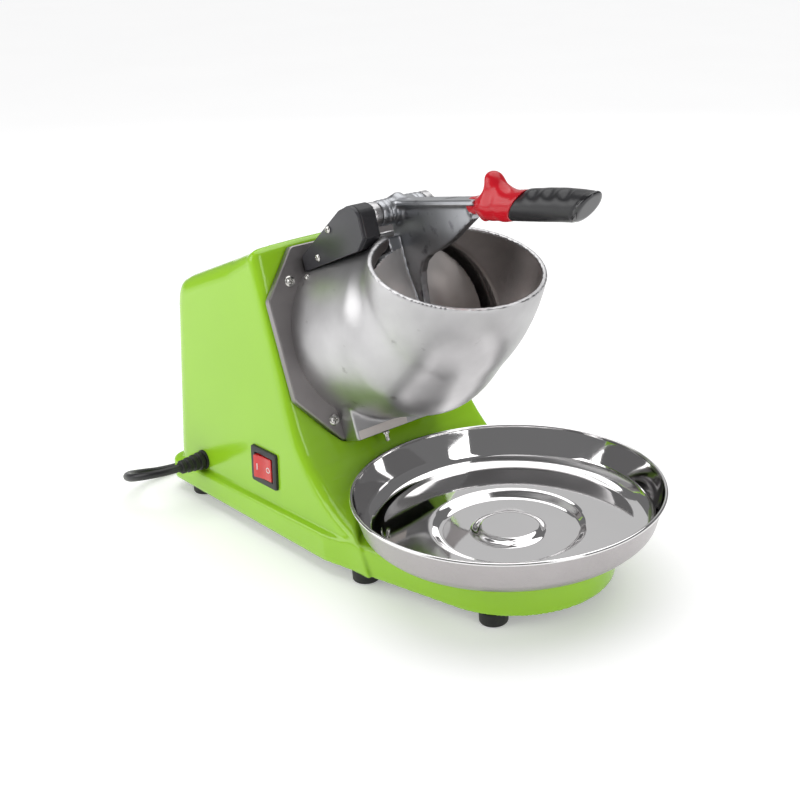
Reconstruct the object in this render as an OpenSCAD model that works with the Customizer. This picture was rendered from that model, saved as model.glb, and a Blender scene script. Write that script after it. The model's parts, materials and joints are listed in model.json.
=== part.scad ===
// Electric shaved ice machine: slanted-face housing, cast drum with a feed bowl, hinged pusher lever and tray.
// Frame: origin on the ground under the middle of the machine, +X towards the tray, +Z up, millimetres.

/* [Base and housing] */
// Half width of the vertical skirt at the foot of the housing
skirt_half_w = 100; // [98:1:104]
// Height of the skirt's lower edge above the ground
skirt_z = 11; // [10:1:12]
// Height of the skirt's upper edge at the back
skirt_top_rear = 29; // [28:1:30]
// Height of the deck under the tray
deck_z = 35; // [34:1:35]
// Radius of the round front of the base
front_r = 77; // [74:1:78]
// Half width of the housing at its top
top_half_w = 84.5; // [83:0.5:86]
// Wall thickness of the moulded housing
shell_t = 2.5; // [2:0.1:3]

/* [Tray] */
// Radius of the tray's rolled rim
tray_r = 120; // [118:1:120]
// Height of the tray's rim above the ground
tray_rim_z = 76; // [75:1:77]
// Thickness of the tray's steel sheet
tray_t = 1; // [0.8:0.1:1.2]

/* [Head] */
// Angle by which the drum's axis rises towards the front
head_tilt = 18; // [17:0.5:19]
// Outer radius of the drum
drum_r = 73; // [72:0.5:74]
// Radius of the drum's bore
bore_r = 65.5; // [65:0.5:66]
// Width of the bowl's mouth
mouth_w = 142; // [140:1:143]
// Thickness of the bowl's wall
bowl_t = 5; // [4:0.5:5.5]

/* [Lever] */
// Length of the lever from its hinge to the end of the grip
lever_len = 207; // [205:1:208]
// Radius of the pusher plate
pusher_r = 56; // [54:0.5:57]
// Thickness of the lever's web
web_t = 8; // [6:1:9]

/* [Motor] */
// Outer radius of the motor's stator
stator_r = 46; // [44:0.5:47]
// Radius of the motor shaft
shaft_r = 6; // [5.5:0.5:6]
// Number of blades on the disc
blade_count = 3; // [2:1:4]

/* [Hidden] */
$fn = 64;

// Overall stations along X
rear_x = -228;
tray_x = 108;
front_x = 114;
// The drum's centre on the flange's front face, and the head's own frame:
// x along the drum's axis, z up the slanted face.
drum_c = [-52, 0, 163.5];
flange_t = 6;
gasket_t = 1;
face_a = -(flange_t + gasket_t);
// Hinge of the lever in the head's frame, and the lever's droop from the drum's axis
hinge = [76, 0, 87];
lever_drop = 9;
hinge_r = 5;
mouth_c = [129.8, 0, 36.8];
mouth_tilt = head_tilt + 17.1;
mouth_r = mouth_w / 2;
mouth_front = 60.5;
bowl_depth = 112;
// Outlet lip under the drum: half its width, and its front face
lip_half_w = 49;
lip_front = 18;
// Flare of the face towards the deck
flare_r = 122;
flare_top_z = 120;
// Switch opening on the near side of the housing
switch_c = [-79.5, -92.2, 62];
switch_size = [35, 31];
switch_tilt = -3.1;
// Angle by which the rocker stands over to one side, and its pivot behind the bezel's face
rock_half = 8;
rock_pivot = 3.4;
cord_r = 3.5;
cord_exit = [-175, -94.1, 39];
relief_len = 24;
// Cord route from the strain relief to the coil, and the coil's place behind the housing
cord_route = [[-175, -119.5, 39], [-178.6, -131, 38.1], [-185.2, -140, 36.5], [-194, -146, 33.9],
    [-204, -148, 30.6], [-214.8, -146.2, 27], [-225.5, -141, 23], [-235, -133, 18.5], [-242, -123.5, 14],
    [-246.5, -112.5, 10], [-248, -101, 7], [-249, -84, 4.5], [-249, -66, 4], [-248.5, -47, 4], [-247, -28, 4],
    [-244.5, -9, 4], [-242.5, 10, 4], [-241.2, 30, 4], [-241, 45, 4], [-241, 60, 4]];
coil_c = [-285.5, 60];
coil_r = 37.5;
coil_rows = 2;
coil_cols = 3;
plug_c = [-341, 104.5, 0.5];

foot_xy = [[-194, 84], [33, 82], [148, 56]];
foot_r = 11;
cover_screw_xy = [[-120, 84], [-40, 84], [95, 62]];
flange_screw_yz = [[62, 53], [55, -61]];
standoff_r = 38;

module head() translate(drum_c) rotate([0, -head_tilt, 0]) children();
module lever() head() translate(hinge) rotate([0, lever_drop, 0]) children();
module along_x() rotate([0, 90, 0]) children();
module along_y() rotate([-90, 0, 0]) children();
module both_sides() {
    children();
    mirror([0, 1, 0]) children();
}

// ---------------------------------------------------------------- housing
function on_face(a, u) = [drum_c[0] + a * cos(head_tilt) - u * sin(head_tilt),
    drum_c[2] + a * sin(head_tilt) + u * cos(head_tilt)];
// Height up the face at which a given z is reached
function face_u(a, z) = (z - drum_c[2] - a * sin(head_tilt)) / cos(head_tilt);
// The flare's arc, from the straight face down to the deck
function flare(a, r, z0) = let (p = on_face(a, face_u(a, z0)), h = head_tilt)
    [for (t = [0:9:90 - h]) [
        p[0] + r * (sin(t) * sin(h) + (1 - cos(t)) * cos(h)),
        p[1] + r * (-sin(t) * cos(h) + (1 - cos(t)) * sin(h))]];
// Side outline of the upper housing, drawn in by an inset
function side_outline(i) = concat(
    [[rear_x + 3 + i, 20], [rear_x + 3.6 + i, 40], [rear_x + 14 + i, 176],
     [rear_x + 18 + i, 187 - i], [rear_x + 24 + i * 0.7, 193.5 - i], [rear_x + 36, 199.3 - i],
     on_face(face_a - 14, 84.5 - i), on_face(face_a - 4, 86.5 - i),
     on_face(face_a - i, 81 - i)],
    flare(face_a - i, flare_r, flare_top_z), [[80, 20]]);
// Half widths of the housing against height
function front_outline(i) = let (half = [
    [94 - i, 20], [94 - i, 30], [top_half_w + 2.5 - i, 160], [top_half_w - 1.5 - i, 250]])
    concat([for (p = half) p], [for (k = [len(half) - 1:-1:0]) [-half[k][0], half[k][1]]]);

module side_solid(i) rotate([90, 0, 0])
    linear_extrude(height = 240, center = true) polygon(side_outline(i));
module front_solid(i) rotate([90, 0, 90])
    linear_extrude(height = 600, center = true) polygon(front_outline(i));
// Crowned roof with rounded shoulders, as a stack of planks along the roof's slope
module roof_solid(i) translate([rear_x + 36, 0, 199.3 - i]) rotate([0, -17.6, 0]) rotate([90, 0, 90])
    linear_extrude(height = 700, center = true) polygon([
        [-120, -300], [120, -300], [120, -12], [top_half_w - i, -10], [top_half_w - 2 - i, -5],
        [top_half_w - 8 - i, -1.6], [top_half_w - 26, 0], [-top_half_w + 26, 0],
        [-top_half_w + 8 + i, -1.6], [-top_half_w + 2 + i, -5], [-top_half_w + i, -10], [-120, -12]]);
module plan_solid(i) linear_extrude(height = 300) hull() {
    for (s = [-1, 1]) {
        translate([rear_x + 15 + i, s * (84.5 - i)]) circle(r = 12);
        translate([80, s * 90]) circle(r = 5);
    }
}
// Round hollow in the flared face, in which the tray stands
module tray_hollow(i) translate([tray_x, 0, deck_z - i])
    cylinder(r1 = 114 + i, r2 = 139 + i, h = 100, $fn = 120);
module upper_solid(i) difference() {
    intersection() {
        side_solid(i);
        front_solid(i);
        roof_solid(i);
        plan_solid(i);
    }
    tray_hollow(i);
}
module base_plan(i) hull() {
    for (s = [-1, 1]) {
        translate([rear_x + 16, s * (skirt_half_w - 16)]) circle(r = 16 - i);
        translate([4, s * (skirt_half_w - 6)]) circle(r = 6 - i);
    }
    translate([front_x, 0]) circle(r = front_r - i);
}
module skirt_solid(i, z0) intersection() {
    linear_extrude(height = 60) base_plan(i);
    rotate([90, 0, 0]) linear_extrude(height = 260, center = true) polygon([
        [rear_x, z0], [rear_x, skirt_top_rear - i], [30, deck_z - i], [200, deck_z - i], [200, z0]]);
}
// The plan of the flange, with its bevelled corners
module flange_plan(grow) offset(r = 6 + grow) polygon([
    [-78, -36], [-47, -74], [47, -74], [78, -36], [78, 40], [50, 73], [-50, 73], [-78, 40]]);
module flange_pocket(grow, a0, len) head() translate([a0, 0, 0]) rotate([90, 0, 90])
    linear_extrude(height = len) flange_plan(grow);

module housing_shell() color("yellowgreen") difference() {
    union() {
        upper_solid(0);
        skirt_solid(0, skirt_z);
        // locating boss for the tray
        translate([tray_x, 0, deck_z - 1]) cylinder(r = 50, h = 3.3);
    }
    difference() {
        union() {
            upper_solid(shell_t);
            skirt_solid(shell_t, skirt_z - 1);
        }
        // screw bosses for the feet and the bottom cover
        both_sides() {
            for (p = foot_xy) translate([p[0], p[1], 16]) cylinder(r = 5, h = 30, $fn = 32);
            for (p = cover_screw_xy) translate([p[0], p[1], 16]) cylinder(r = 4, h = 30, $fn = 32);
            // webs that tie the bosses to the side walls
            for (p = concat(foot_xy, cover_screw_xy)) translate([p[0] - 1, p[1], 16]) cube([2, 12, 30]);
        }
    }
    both_sides() {
        for (p = foot_xy) translate([p[0], p[1], 10]) cylinder(r = 1.8, h = 20, $fn = 32);
        for (p = cover_screw_xy) translate([p[0], p[1], 10]) cylinder(r = 1.3, h = 16, $fn = 32);
    }
    // seat of the flange and the round window behind it
    flange_pocket(0.4, face_a, 40);
    head() translate([-30, 0, 0]) along_x() cylinder(r = 50, h = 40);
    // threaded holes for the flange screws
    head() both_sides() for (p = flange_screw_yz)
        translate([-30, p[0], p[1]]) along_x() cylinder(r = 2.2, h = 30, $fn = 32);
    // switch window and strain relief hole
    switch_frame() cube([28, 40, 25], center = true);
    switch_frame() translate([0, -10, 0]) cube([switch_size[0] + 0.2, 20, switch_size[1] + 0.2], center = true);
    translate([cord_exit[0], -120, cord_exit[2]]) along_y() cylinder(r = 6.35, h = 60, $fn = 40);
}
module bottom_cover() color("dimgray") difference() {
    translate([0, 0, skirt_z + 0.5]) linear_extrude(height = 3) base_plan(shell_t + 0.5);
    both_sides() {
        for (p = foot_xy) translate([p[0], p[1], 0]) cylinder(r = 5.5, h = 30, $fn = 32);
        for (p = cover_screw_xy) translate([p[0], p[1], 0]) cylinder(r = 2, h = 30, $fn = 32);
    }
    // ventilation slots under the motor
    for (k = [-4:4]) translate([-120, k * 11, skirt_z]) cube([70, 5, 12], center = true);
}
module bottom_cover_screws() color("silver") both_sides()
    for (p = cover_screw_xy) translate([p[0], p[1], 0]) {
        translate([0, 0, skirt_z - 2]) cylinder(r = 3.4, h = 2.5, $fn = 32);
        translate([0, 0, skirt_z]) cylinder(r = 1.2, h = 13, $fn = 32);
    }
module feet() color([0.07, 0.07, 0.07]) both_sides()
    for (p = foot_xy) translate([p[0], p[1], 0]) difference() {
        rotate_extrude() polygon([[0, 0], [foot_r - 2, 0], [foot_r - 1, 1], [foot_r, skirt_z - 1.5],
            [foot_r - 0.6, skirt_z - 0.1], [5, skirt_z - 0.1], [5, 15.9], [0, 15.9]]);
        translate([0, 0, -1]) cylinder(r = 4.4, h = 5, $fn = 32);
        cylinder(r = 2, h = 20, $fn = 32);
    }
module foot_screws() color("silver") both_sides() for (p = foot_xy) translate([p[0], p[1], 0]) {
    translate([0, 0, 1.5]) cylinder(r = 3.6, h = 2.4, $fn = 32);
    translate([0, 0, 3]) cylinder(r = 1.7, h = 22, $fn = 32);
}

// ---------------------------------------------------------------- tray
// Upper side of the tray's sheet from its middle to the rim
function tray_line(d) = [[0, 42.5 - d], [23 + d * 0.4, 42.5 - d], [28 + d * 0.4, 38.5 - d],
    [53 - d * 0.2, 38.5 - d], [60, 43.5 - d], [98, 44.5 - d], [105 + d * 0.5, 46.5 - d],
    [111 + d, 52], [117 + d * 0.6, tray_rim_z - 3]];
module tray() color("gainsboro") translate([tray_x, 0, 0]) {
    rotate_extrude($fn = 120) polygon(concat(
        tray_line(tray_t), [[tray_r, tray_rim_z - 3], [tray_r, tray_rim_z - 0.8], [tray_r - 0.8, tray_rim_z],
        [tray_r - 2.4, tray_rim_z], [tray_r - 3.2, tray_rim_z - 1]],
        [for (k = [len(tray_line(0)) - 1:-1:0]) tray_line(0)[k]]));
}

// ---------------------------------------------------------------- drum, bowl and outlet
module switch_frame() translate(switch_c) rotate([switch_tilt, 0, 0]) children();
function arc(c, r, t0, t1, n) = [for (k = [0:n]) let (t = t0 + (t1 - t0) * k / n) c + r * [cos(t), sin(t)]];
// Body of revolution about the drum's axis: a cylinder with a round end
module drum_turn(r, a0, a1) along_x()
    rotate_extrude($fn = 96) polygon(concat([[0, a0], [r, a0]], arc([0, a1], r, 0, 90, 10)));
// Bowl: a body of revolution about the normal of the mouth
module bowl_turn(r, depth, over) translate(mouth_c) rotate([0, mouth_tilt, 0])
    translate([mouth_front - mouth_r, 0, 0]) rotate_extrude($fn = 96) polygon(concat(
        [[0, over], [r, over]],
        [for (t = [0:9:90]) [r * cos(t), -depth * sin(t)]]));
module hopper_drum() color("darkgray") head() difference() {
    union() {
        translate([-flange_t, 0, 0]) rotate([90, 0, 90]) linear_extrude(height = flange_t) flange_plan(0);
        difference() {
            union() {
                translate([-1, 0, 0]) drum_turn(drum_r, 0, 73);
                difference() {
                    bowl_turn(mouth_r, bowl_depth, 0);
                    translate([-126, -150, -200]) cube([200, 300, 400]);
                    box_prism(-47, 17.8) offset(delta = 0.3) box_outline();
                }
            }
            // everything above the mouth
            translate(mouth_c) rotate([0, mouth_tilt, 0]) translate([-60, -150, 0]) cube([300, 300, 200]);
            // nothing reaches behind the flange
            translate([-100, -200, -200]) cube([100, 400, 400]);
        }
        // ears that hold the hinge pin
        both_sides() translate([0, 22, 0]) {
            translate([hinge[0] - 20, 0, 50]) cube([28, 7, 36]);
            translate([hinge[0], 0, hinge[2]]) along_y() cylinder(r = 9.6, h = 7);
        }
        // outlet lip under the drum
        translate([-1, -lip_half_w, -81]) cube([lip_front + 1, 2 * lip_half_w, 30]);
    }
    // chamber, bore and the inside of the bowl
    translate([4, 0, 0]) drum_turn(bore_r, 0, 68);
    bowl_turn(mouth_r - bowl_t, bowl_depth - bowl_t, 0.5);
    // slot in which the pusher's neck swings
    translate([55, -21.9, 45]) cube([60, 43.8, 80]);
    // ice outlet at the foot of the chamber
    translate([3, -35, -90]) cube([12, 70, 45]);
    // hinge bores, seal bore, screw holes
    translate(hinge) translate([0, -50, 0]) along_y() cylinder(r = 7.05, h = 100);
    translate([-20, 0, 0]) along_x() cylinder(r = 14.05, h = 40);
    both_sides() for (p = flange_screw_yz)
        translate([-20, p[0], p[1]]) along_x() cylinder(r = 2.6, h = 40, $fn = 32);
    for (t = [45:90:315]) rotate([t, 0, 0]) translate([-20, 0, standoff_r])
        along_x() cylinder(r = 2.7, h = 40, $fn = 32);
}
module flange_gasket() color([0.1, 0.1, 0.1]) head() translate([face_a + 0.02, 0, 0]) difference() {
    rotate([90, 0, 90]) linear_extrude(height = gasket_t - 0.04) flange_plan(-1);
    translate([-5, 0, 0]) along_x() cylinder(r = 52, h = 10);
    both_sides() for (p = flange_screw_yz)
        translate([-5, p[0], p[1]]) along_x() cylinder(r = 2.6, h = 10, $fn = 32);
}
module pan_screw(r, head_r, head_h, len) {
    rotate_extrude($fn = 32) polygon([[0, 0], [head_r, 0], [head_r, head_h * 0.4],
        [head_r * 0.8, head_h * 0.85], [head_r * 0.4, head_h], [0, head_h]]);
    translate([0, 0, -len]) cylinder(r = r, h = len, $fn = 32);
}
module flange_screws() color("silver") head() both_sides() for (p = flange_screw_yz)
    translate([0.05, p[0], p[1]]) along_x() pan_screw(2, 4.6, 2.6, 22);
module outlet_label() color("whitesmoke") head()
    translate([lip_front, 2 - lip_half_w, -80.3]) cube([0.5, 48, 7]);
module outlet_stud() color("silver") head() translate([16.4, -21, -81]) {
    translate([0, 0, -2]) cylinder(r = 3, h = 2, $fn = 6);
    translate([0, 0, -8]) cylinder(r = 2, h = 6.5, $fn = 24);
}
module earth_screw() color("silver") head() rotate([43.5, 0, 0]) translate([8, 0, drum_r + 0.05])
    cylinder(r = 2.6, h = 2, $fn = 32);

// ---------------------------------------------------------------- switch box beside the hinge
module box_outline() polygon(concat([[1, 57], [76, 63.5], [86, 71]],
    arc([hinge[0], hinge[2]], 10.5, 0, 115, 7), [[65, 96], [1, 69]]));
module box_prism(y0, t) translate([0, y0 + t, 0]) rotate([90, 0, 0]) linear_extrude(height = t) children();
box_screw_au = [[46, 84.3], [24, 65.5]];
module switch_box() color([0.12, 0.12, 0.13]) head() difference() {
    box_prism(-44, 14.5) box_outline();
    // hollow, open towards the lid, with two screw bosses
    difference() {
        box_prism(-44.1, 11.6) offset(delta = -2.2) box_outline();
        for (p = box_screw_au) translate([p[0], -50, p[1]]) along_y() cylinder(r = 3.4, h = 30, $fn = 32);
    }
    for (p = box_screw_au) translate([p[0], -50, p[1]]) along_y() cylinder(r = 1.6, h = 16, $fn = 32);
    along_x() cylinder(r = drum_r + 0.3, h = 120);
    translate([hinge[0], -60, hinge[2]]) along_y() cylinder(r = 8.6, h = 60);
}
module switch_box_lid() color([0.16, 0.16, 0.17]) head() difference() {
    box_prism(-46.6, 2.5) box_outline();
    for (p = box_screw_au) translate([p[0], -50, p[1]]) along_y() cylinder(r = 1.6, h = 10, $fn = 32);
    along_x() cylinder(r = drum_r + 0.3, h = 120);
}
module switch_box_screws() color("silver") head() for (p = box_screw_au)
    translate([p[0], -46.65, p[1]]) rotate([90, 0, 0]) pan_screw(1.5, 3, 1.8, 9);
// The line from the hinge to the micro switch, down and back
cam_rise = 1.5;
cam_low = 6;
lever_swing = 75;
module cam_line() head() translate(hinge) rotate([0, 135, 0]) children();
module micro_switch() color([0.2, 0.2, 0.22]) cam_line() difference() {
    translate([13, -43.9, -10]) cube([9, 6.2, 18]);
    translate([0, -40.8, 0]) along_x() cylinder(r = 1.3, h = 19, $fn = 32);
}
module micro_switch_plunger() color("crimson") cam_line() translate([cam_low + 0.1, -40.8, 0])
    along_x() cylinder(r = 1.2, h = 10, $fn = 32);

// ---------------------------------------------------------------- lever
// Web outline in the head's frame, between the arm, the hinge and the pusher plate
web_low = [[161, 67], [150, 62.5], [132, 55], [117, 51], [103, 48.5], [93.5, 44], [88, 37], [85, 27],
    [83, 12], [82, -20], [74, -28]];
module head_to_lever() rotate([0, -lever_drop, 0]) translate(-hinge) children();
module plate_plan() union() {
    circle(r = pusher_r, $fn = 96);
    translate([-15, 30]) square([30, 38]);
}
module lower_trim(c, r) translate([0, c]) circle(r = r, $fn = 120);
module lever_arm() color("silver") lever() difference() {
    union() {
        // barrel round the pin
        translate([0, -21.6, 0]) along_y() cylinder(r = 10, h = 43.2);
        // flat top flange and the tang inside the grip
        translate([-2, -10, 3.7]) cube([98, 20, 4]);
        translate([84, -4, -3]) cube([102, 8, 10]);
        // web
        head_to_lever() translate([0, web_t / 2, 0]) rotate([90, 0, 0]) linear_extrude(height = web_t)
            polygon(concat([[69, 90], [67, 70], [66, 50], [66, -28]],
                [for (k = [len(web_low) - 1:-1:0]) web_low[k]], [[159, 77], [76, 91]]));
        // pusher plate: trimmed disc with a shallow dome
        head_to_lever() intersection() {
            union() {
                translate([66, 0, 0]) rotate([90, 0, 90]) linear_extrude(height = 8) plate_plan();
                translate([79 - 155, 0, 0]) intersection() {
                    along_x() translate([0, 0, 149.8]) cylinder(r = 40, h = 10);
                    sphere(r = 155, $fn = 96);
                }
            }
            rotate([90, 0, 90]) linear_extrude(height = 120) lower_trim(32, 70);
        }
    }
    translate([0, -40, 0]) along_y() cylinder(r = hinge_r + 0.05, h = 80);
    // clearance for the ears and the drum behind the neck
    head_to_lever() both_sides() translate([30, 21.75, 58]) cube([45, 12, 45]);
}
module hinge_pin() color("lightgray") lever() translate([0, -41.5, 0]) along_y()
    cylinder(r = hinge_r, h = 75);
module hinge_bushes() color("ivory") lever() both_sides() translate([0, 21.95, 0]) along_y() difference() {
    cylinder(r = 7, h = 7);
    translate([0, 0, -1]) cylinder(r = hinge_r + 0.05, h = 12);
}
module pin_circlips() color("gray") lever() translate([0, 29.3, 0]) along_y() difference() {
    cylinder(r = 8, h = 1.2);
    translate([0, 0, -1]) cylinder(r = hinge_r - 0.02, h = 4);
}
// Snail cam: its radius rises evenly over the lever's swing, so it pushes the plunger in steadily
module switch_cam() color("ivory") cam_line() translate([0, -35.8, 0]) rotate([90, 0, 0]) difference() {
    linear_extrude(height = 8) polygon(concat(
        [for (t = [0:7.5:lever_swing]) let (r = cam_low + cam_rise * t / lever_swing) r * [cos(t), sin(t)]],
        [for (t = [lever_swing + 7.5:7.5:352.5]) let (r = t < 100 ? cam_low + cam_rise : cam_low)
            r * [cos(t), sin(t)]]));
    translate([0, 0, -1]) cylinder(r = hinge_r - 0.02, h = 20);
}
// The red guard: a collar on the arm with an upright hump and a short tip below
module hand_guard() color("crimson") lever() difference() {
    union() {
        hull() {
            translate([88, 0, 3]) sphere(r = 7, $fn = 28);
            translate([121, 0, 2]) sphere(r = 12, $fn = 28);
        }
        hull() {
            translate([106, 0, 4]) sphere(r = 12, $fn = 24);
            translate([111, 0, 19]) sphere(r = 7.4, $fn = 24);
        }
        hull() {
            translate([100, 0, 0]) sphere(r = 8, $fn = 24);
            translate([97, 0, -6]) sphere(r = 3.2, $fn = 24);
        }
    }
    translate([60, -10.2, 3.5]) cube([36.2, 20.4, 4.4]);
    translate([80, -4.2, -3.2]) cube([100, 8.4, 10.4]);
    translate([60, -4.2, -20]) cube([32, 8.4, 30]);
    translate([132, 0, 0]) rotate([0, 40, 0]) translate([0, -30, -60]) cube([40, 60, 120]);
}
module hand_grip() color([0.1, 0.1, 0.1]) lever() difference() {
    hull() {
        translate([120, 0, 2]) along_x() cylinder(r = 10.6, h = 1, $fn = 32);
        translate([150, 0, 2.6]) along_x() cylinder(r = 11.2, h = 1, $fn = 32);
        translate([178, 0, 2.6]) along_x() cylinder(r = 11.2, h = 1, $fn = 32);
        translate([lever_len - 11, 0, 1.5]) sphere(r = 11, $fn = 32);
    }
    translate([80, -4.1, -3.1]) cube([106.1, 8.2, 10.2]);
    // oblique joint with the guard and oblique end face
    translate([132.1, 0, 0]) rotate([0, 40, 0]) translate([-60, -30, -60]) cube([60, 60, 120]);
    translate([lever_len, 0, 11]) rotate([0, 45, 0]) translate([0, -30, -60]) cube([40, 60, 90]);
}

// ---------------------------------------------------------------- blades and motor, on the drum's axis
module blade_disc() color("lightgray") head() difference() {
    union() {
        translate([44, 0, 0]) along_x() cylinder(r = 63, h = 6, $fn = 120);
        translate([30, 0, 0]) along_x() cylinder(r = 15, h = 15);
    }
    translate([20, 0, 0]) along_x() cylinder(r = shaft_r + 0.02, h = 60);
    for (k = [0:blade_count - 1]) rotate([360 / blade_count * k, 0, 0]) {
        translate([40, -5, 24]) cube([20, 6, 34]);
        for (z = [32, 50]) translate([30, 7, z]) along_x() cylinder(r = 1.6, h = 30, $fn = 24);
    }
}
module blades() color("white") head() for (k = [0:blade_count - 1]) rotate([360 / blade_count * k, 0, 0])
    difference() {
        translate([50.02, 1.5, 23]) cube([2, 12, 36]);
        for (z = [32, 50]) translate([30, 7, z]) along_x() cylinder(r = 1.6, h = 30, $fn = 24);
    }
module blade_screws() color("silver") head() for (k = [0:blade_count - 1]) rotate([360 / blade_count * k, 0, 0])
    for (z = [32, 50]) translate([52.04, 7, z]) along_x() pan_screw(1.5, 3, 1.6, 9);
module disc_nut() color("silver") head() difference() {
    translate([50.05, 0, 0]) along_x() cylinder(r = 9.2, h = 7, $fn = 6);
    translate([40, 0, 0]) along_x() cylinder(r = shaft_r + 0.02, h = 30);
}
module motor_shaft() color("lightgray") head() translate([-118, 0, 0]) along_x()
    cylinder(r = shaft_r, h = 177);
module rotor_core() color("dimgray") head() difference() {
    translate([-78, 0, 0]) along_x() cylinder(r = 24.5, h = 50);
    translate([-90, 0, 0]) along_x() cylinder(r = shaft_r - 0.01, h = 80);
}
module cooling_fan() color("whitesmoke") head() difference() {
    union() {
        translate([-116, 0, 0]) along_x() cylinder(r = 12, h = 10);
        translate([-108, 0, 0]) along_x() cylinder(r = 36, h = 2);
        for (t = [0:45:315]) rotate([t, 0, 0]) translate([-116, -1, 10]) cube([9, 2, 28]);
    }
    translate([-130, 0, 0]) along_x() cylinder(r = shaft_r - 0.01, h = 60);
}
module ring(a0, len, r_out, r_in) head() difference() {
    translate([a0, 0, 0]) along_x() cylinder(r = r_out, h = len);
    translate([a0 - 1, 0, 0]) along_x() cylinder(r = r_in, h = len + 2);
}
module shaft_seal() color([0.15, 0.15, 0.15]) ring(-6, 8, 14, shaft_r + 0.08);
module front_bearing() color("silver") ring(-22, 8, 13, shaft_r + 0.05);
module rear_bearing() color("silver") ring(-98, 8, 13, shaft_r + 0.05);
module motor_front_bell() color("silver") head() difference() {
    translate([-28, 0, 0]) along_x() cylinder(r = 48, h = 14);
    translate([-28.1, 0, 0]) along_x() cylinder(r = 43, h = 5);
    translate([-23, 0, 0]) along_x() cylinder(r = 13.03, h = 10);
    translate([-40, 0, 0]) along_x() cylinder(r = 9, h = 40);
    for (t = [45:90:315]) rotate([t, 0, 0]) translate([-40, 0, standoff_r])
        along_x() cylinder(r = 2.6, h = 60, $fn = 32);
}
module motor_rear_bell() color("silver") head() difference() {
    translate([-104, 0, 0]) along_x() cylinder(r = 48, h = 22);
    translate([-92, 0, 0]) along_x() cylinder(r = 43, h = 20);
    translate([-99, 0, 0]) along_x() cylinder(r = 13.03, h = 9);
    translate([-110, 0, 0]) along_x() cylinder(r = 9, h = 40);
    for (t = [0:45:315]) rotate([t, 0, 0]) translate([-100, 0, 28]) cube([30, 12, 10], center = true);
    for (t = [22.5:90:315]) rotate([t, 0, 0]) translate([-110, 0, 45.6])
        along_x() cylinder(r = 1.7, h = 60, $fn = 24);
}
module stator_core() color("slategray") head() difference() {
    translate([-81.9, 0, 0]) along_x() cylinder(r = stator_r, h = 53.8);
    translate([-90, 0, 0]) along_x() cylinder(r = 25.2, h = 80);
}
module stator_windings() color("chocolate") {
    ring(-27.9, 4, 41, 30);
    ring(-91, 9, 41, 30);
}
module motor_through_bolts() color("silver") head() for (t = [45:90:315]) rotate([t, 0, 0])
    translate([3.9, 0, standoff_r]) along_x() {
        translate([0, 0, 0.2]) cylinder(r = 4, h = 3, $fn = 6);
        translate([0, 0, -26]) cylinder(r = 2.4, h = 26.3, $fn = 32);
    }
module motor_spacers() color("gainsboro") head() for (t = [45:90:315]) rotate([t, 0, 0])
    difference() {
        translate([-13.95, 0, standoff_r]) along_x() cylinder(r = 5, h = 7.9, $fn = 32);
        translate([-20, 0, standoff_r]) along_x() cylinder(r = 2.6, h = 20, $fn = 32);
    }
module run_capacitor() color("whitesmoke") translate([-186, 40, 95]) {
    cylinder(r = 15, h = 62);
    for (s = [-1, 1]) translate([s * 5 - 0.4, -3, 61]) cube([0.8, 6, 9]);
}
module capacitor_clamp() color("silver") difference() {
    translate([-186, 40, 118]) cylinder(r = 16.2, h = 12);
    translate([-186, 40, 110]) cylinder(r = 15.05, h = 30);
}
module terminal_block() color("ivory") translate([-190, -40, 60]) difference() {
    cube([14, 44, 12]);
    for (k = [0:3]) translate([7, 5.5 + 11 * k, 5]) cylinder(r = 2.2, h = 10, $fn = 24);
}
module cord_clamp() color([0.1, 0.1, 0.1]) translate([cord_exit[0], -76, cord_exit[2]]) difference() {
    cube([16, 8, 12], center = true);
    translate([0, -20, 0]) along_y() cylinder(r = cord_r + 0.05, h = 40);
}

// ---------------------------------------------------------------- rocker switch
module rocker_bezel() color([0.08, 0.08, 0.08]) switch_frame() difference() {
    union() {
        translate([0, -1.3, 0]) cube([switch_size[0], 2.6, switch_size[1]], center = true);
        translate([0, 8, 0]) cube([27.6, 16.2, 24.6], center = true);
    }
    cube([24, 22, 20], center = true);
}
module rocker_button() color("red") switch_frame() translate([0, rock_pivot, 0]) rotate([0, 0, rock_half])
    translate([0, 0, -9.6]) linear_extrude(height = 19.2) polygon([[-10.5, -7.9], [0, -6.6], [10.5, -7.9],
        [10.4, -3], [8.5, 3], [-8.5, 3], [-10.4, -3]]);
module rocker_terminals() color("gold") switch_frame() for (x = [-7, 7]) for (z = [-5, 5])
    translate([x, 20.1, z]) cube([5, 8, 0.8], center = true);

// ---------------------------------------------------------------- cord, coil and plug
module strain_relief() color([0.08, 0.08, 0.08]) translate(cord_exit) rotate([90, 0, 0]) difference() {
    union() {
        translate([0, 0, -7]) cylinder(r = 6.3, h = 9, $fn = 40);
        cylinder(r1 = 7, r2 = 4.7, h = relief_len, $fn = 40);
        for (k = [0:3]) translate([0, 0, 1 + k * relief_len / 4])
            cylinder(r1 = 8.2 - k * 0.7, r2 = 7.9 - k * 0.7, h = relief_len / 4 - 2, $fn = 40);
    }
    translate([0, 0, -20]) cylinder(r = cord_r + 0.02, h = 60, $fn = 40);
}
function unit(v) = v / norm(v);
// Smooth curve through the route's points (Catmull-Rom), sampled three times a span
function spline(p, n) = [for (i = [0:len(p) - 2]) for (k = [0:n - 1]) let (t = k / n,
    a = p[max(i - 1, 0)], b = p[i], c = p[i + 1], d = p[min(i + 2, len(p) - 1)])
    0.5 * (2 * b + (c - a) * t + (2 * a - 5 * b + 4 * c - d) * t * t + (3 * b - a - 3 * c + d) * t * t * t)];
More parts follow.
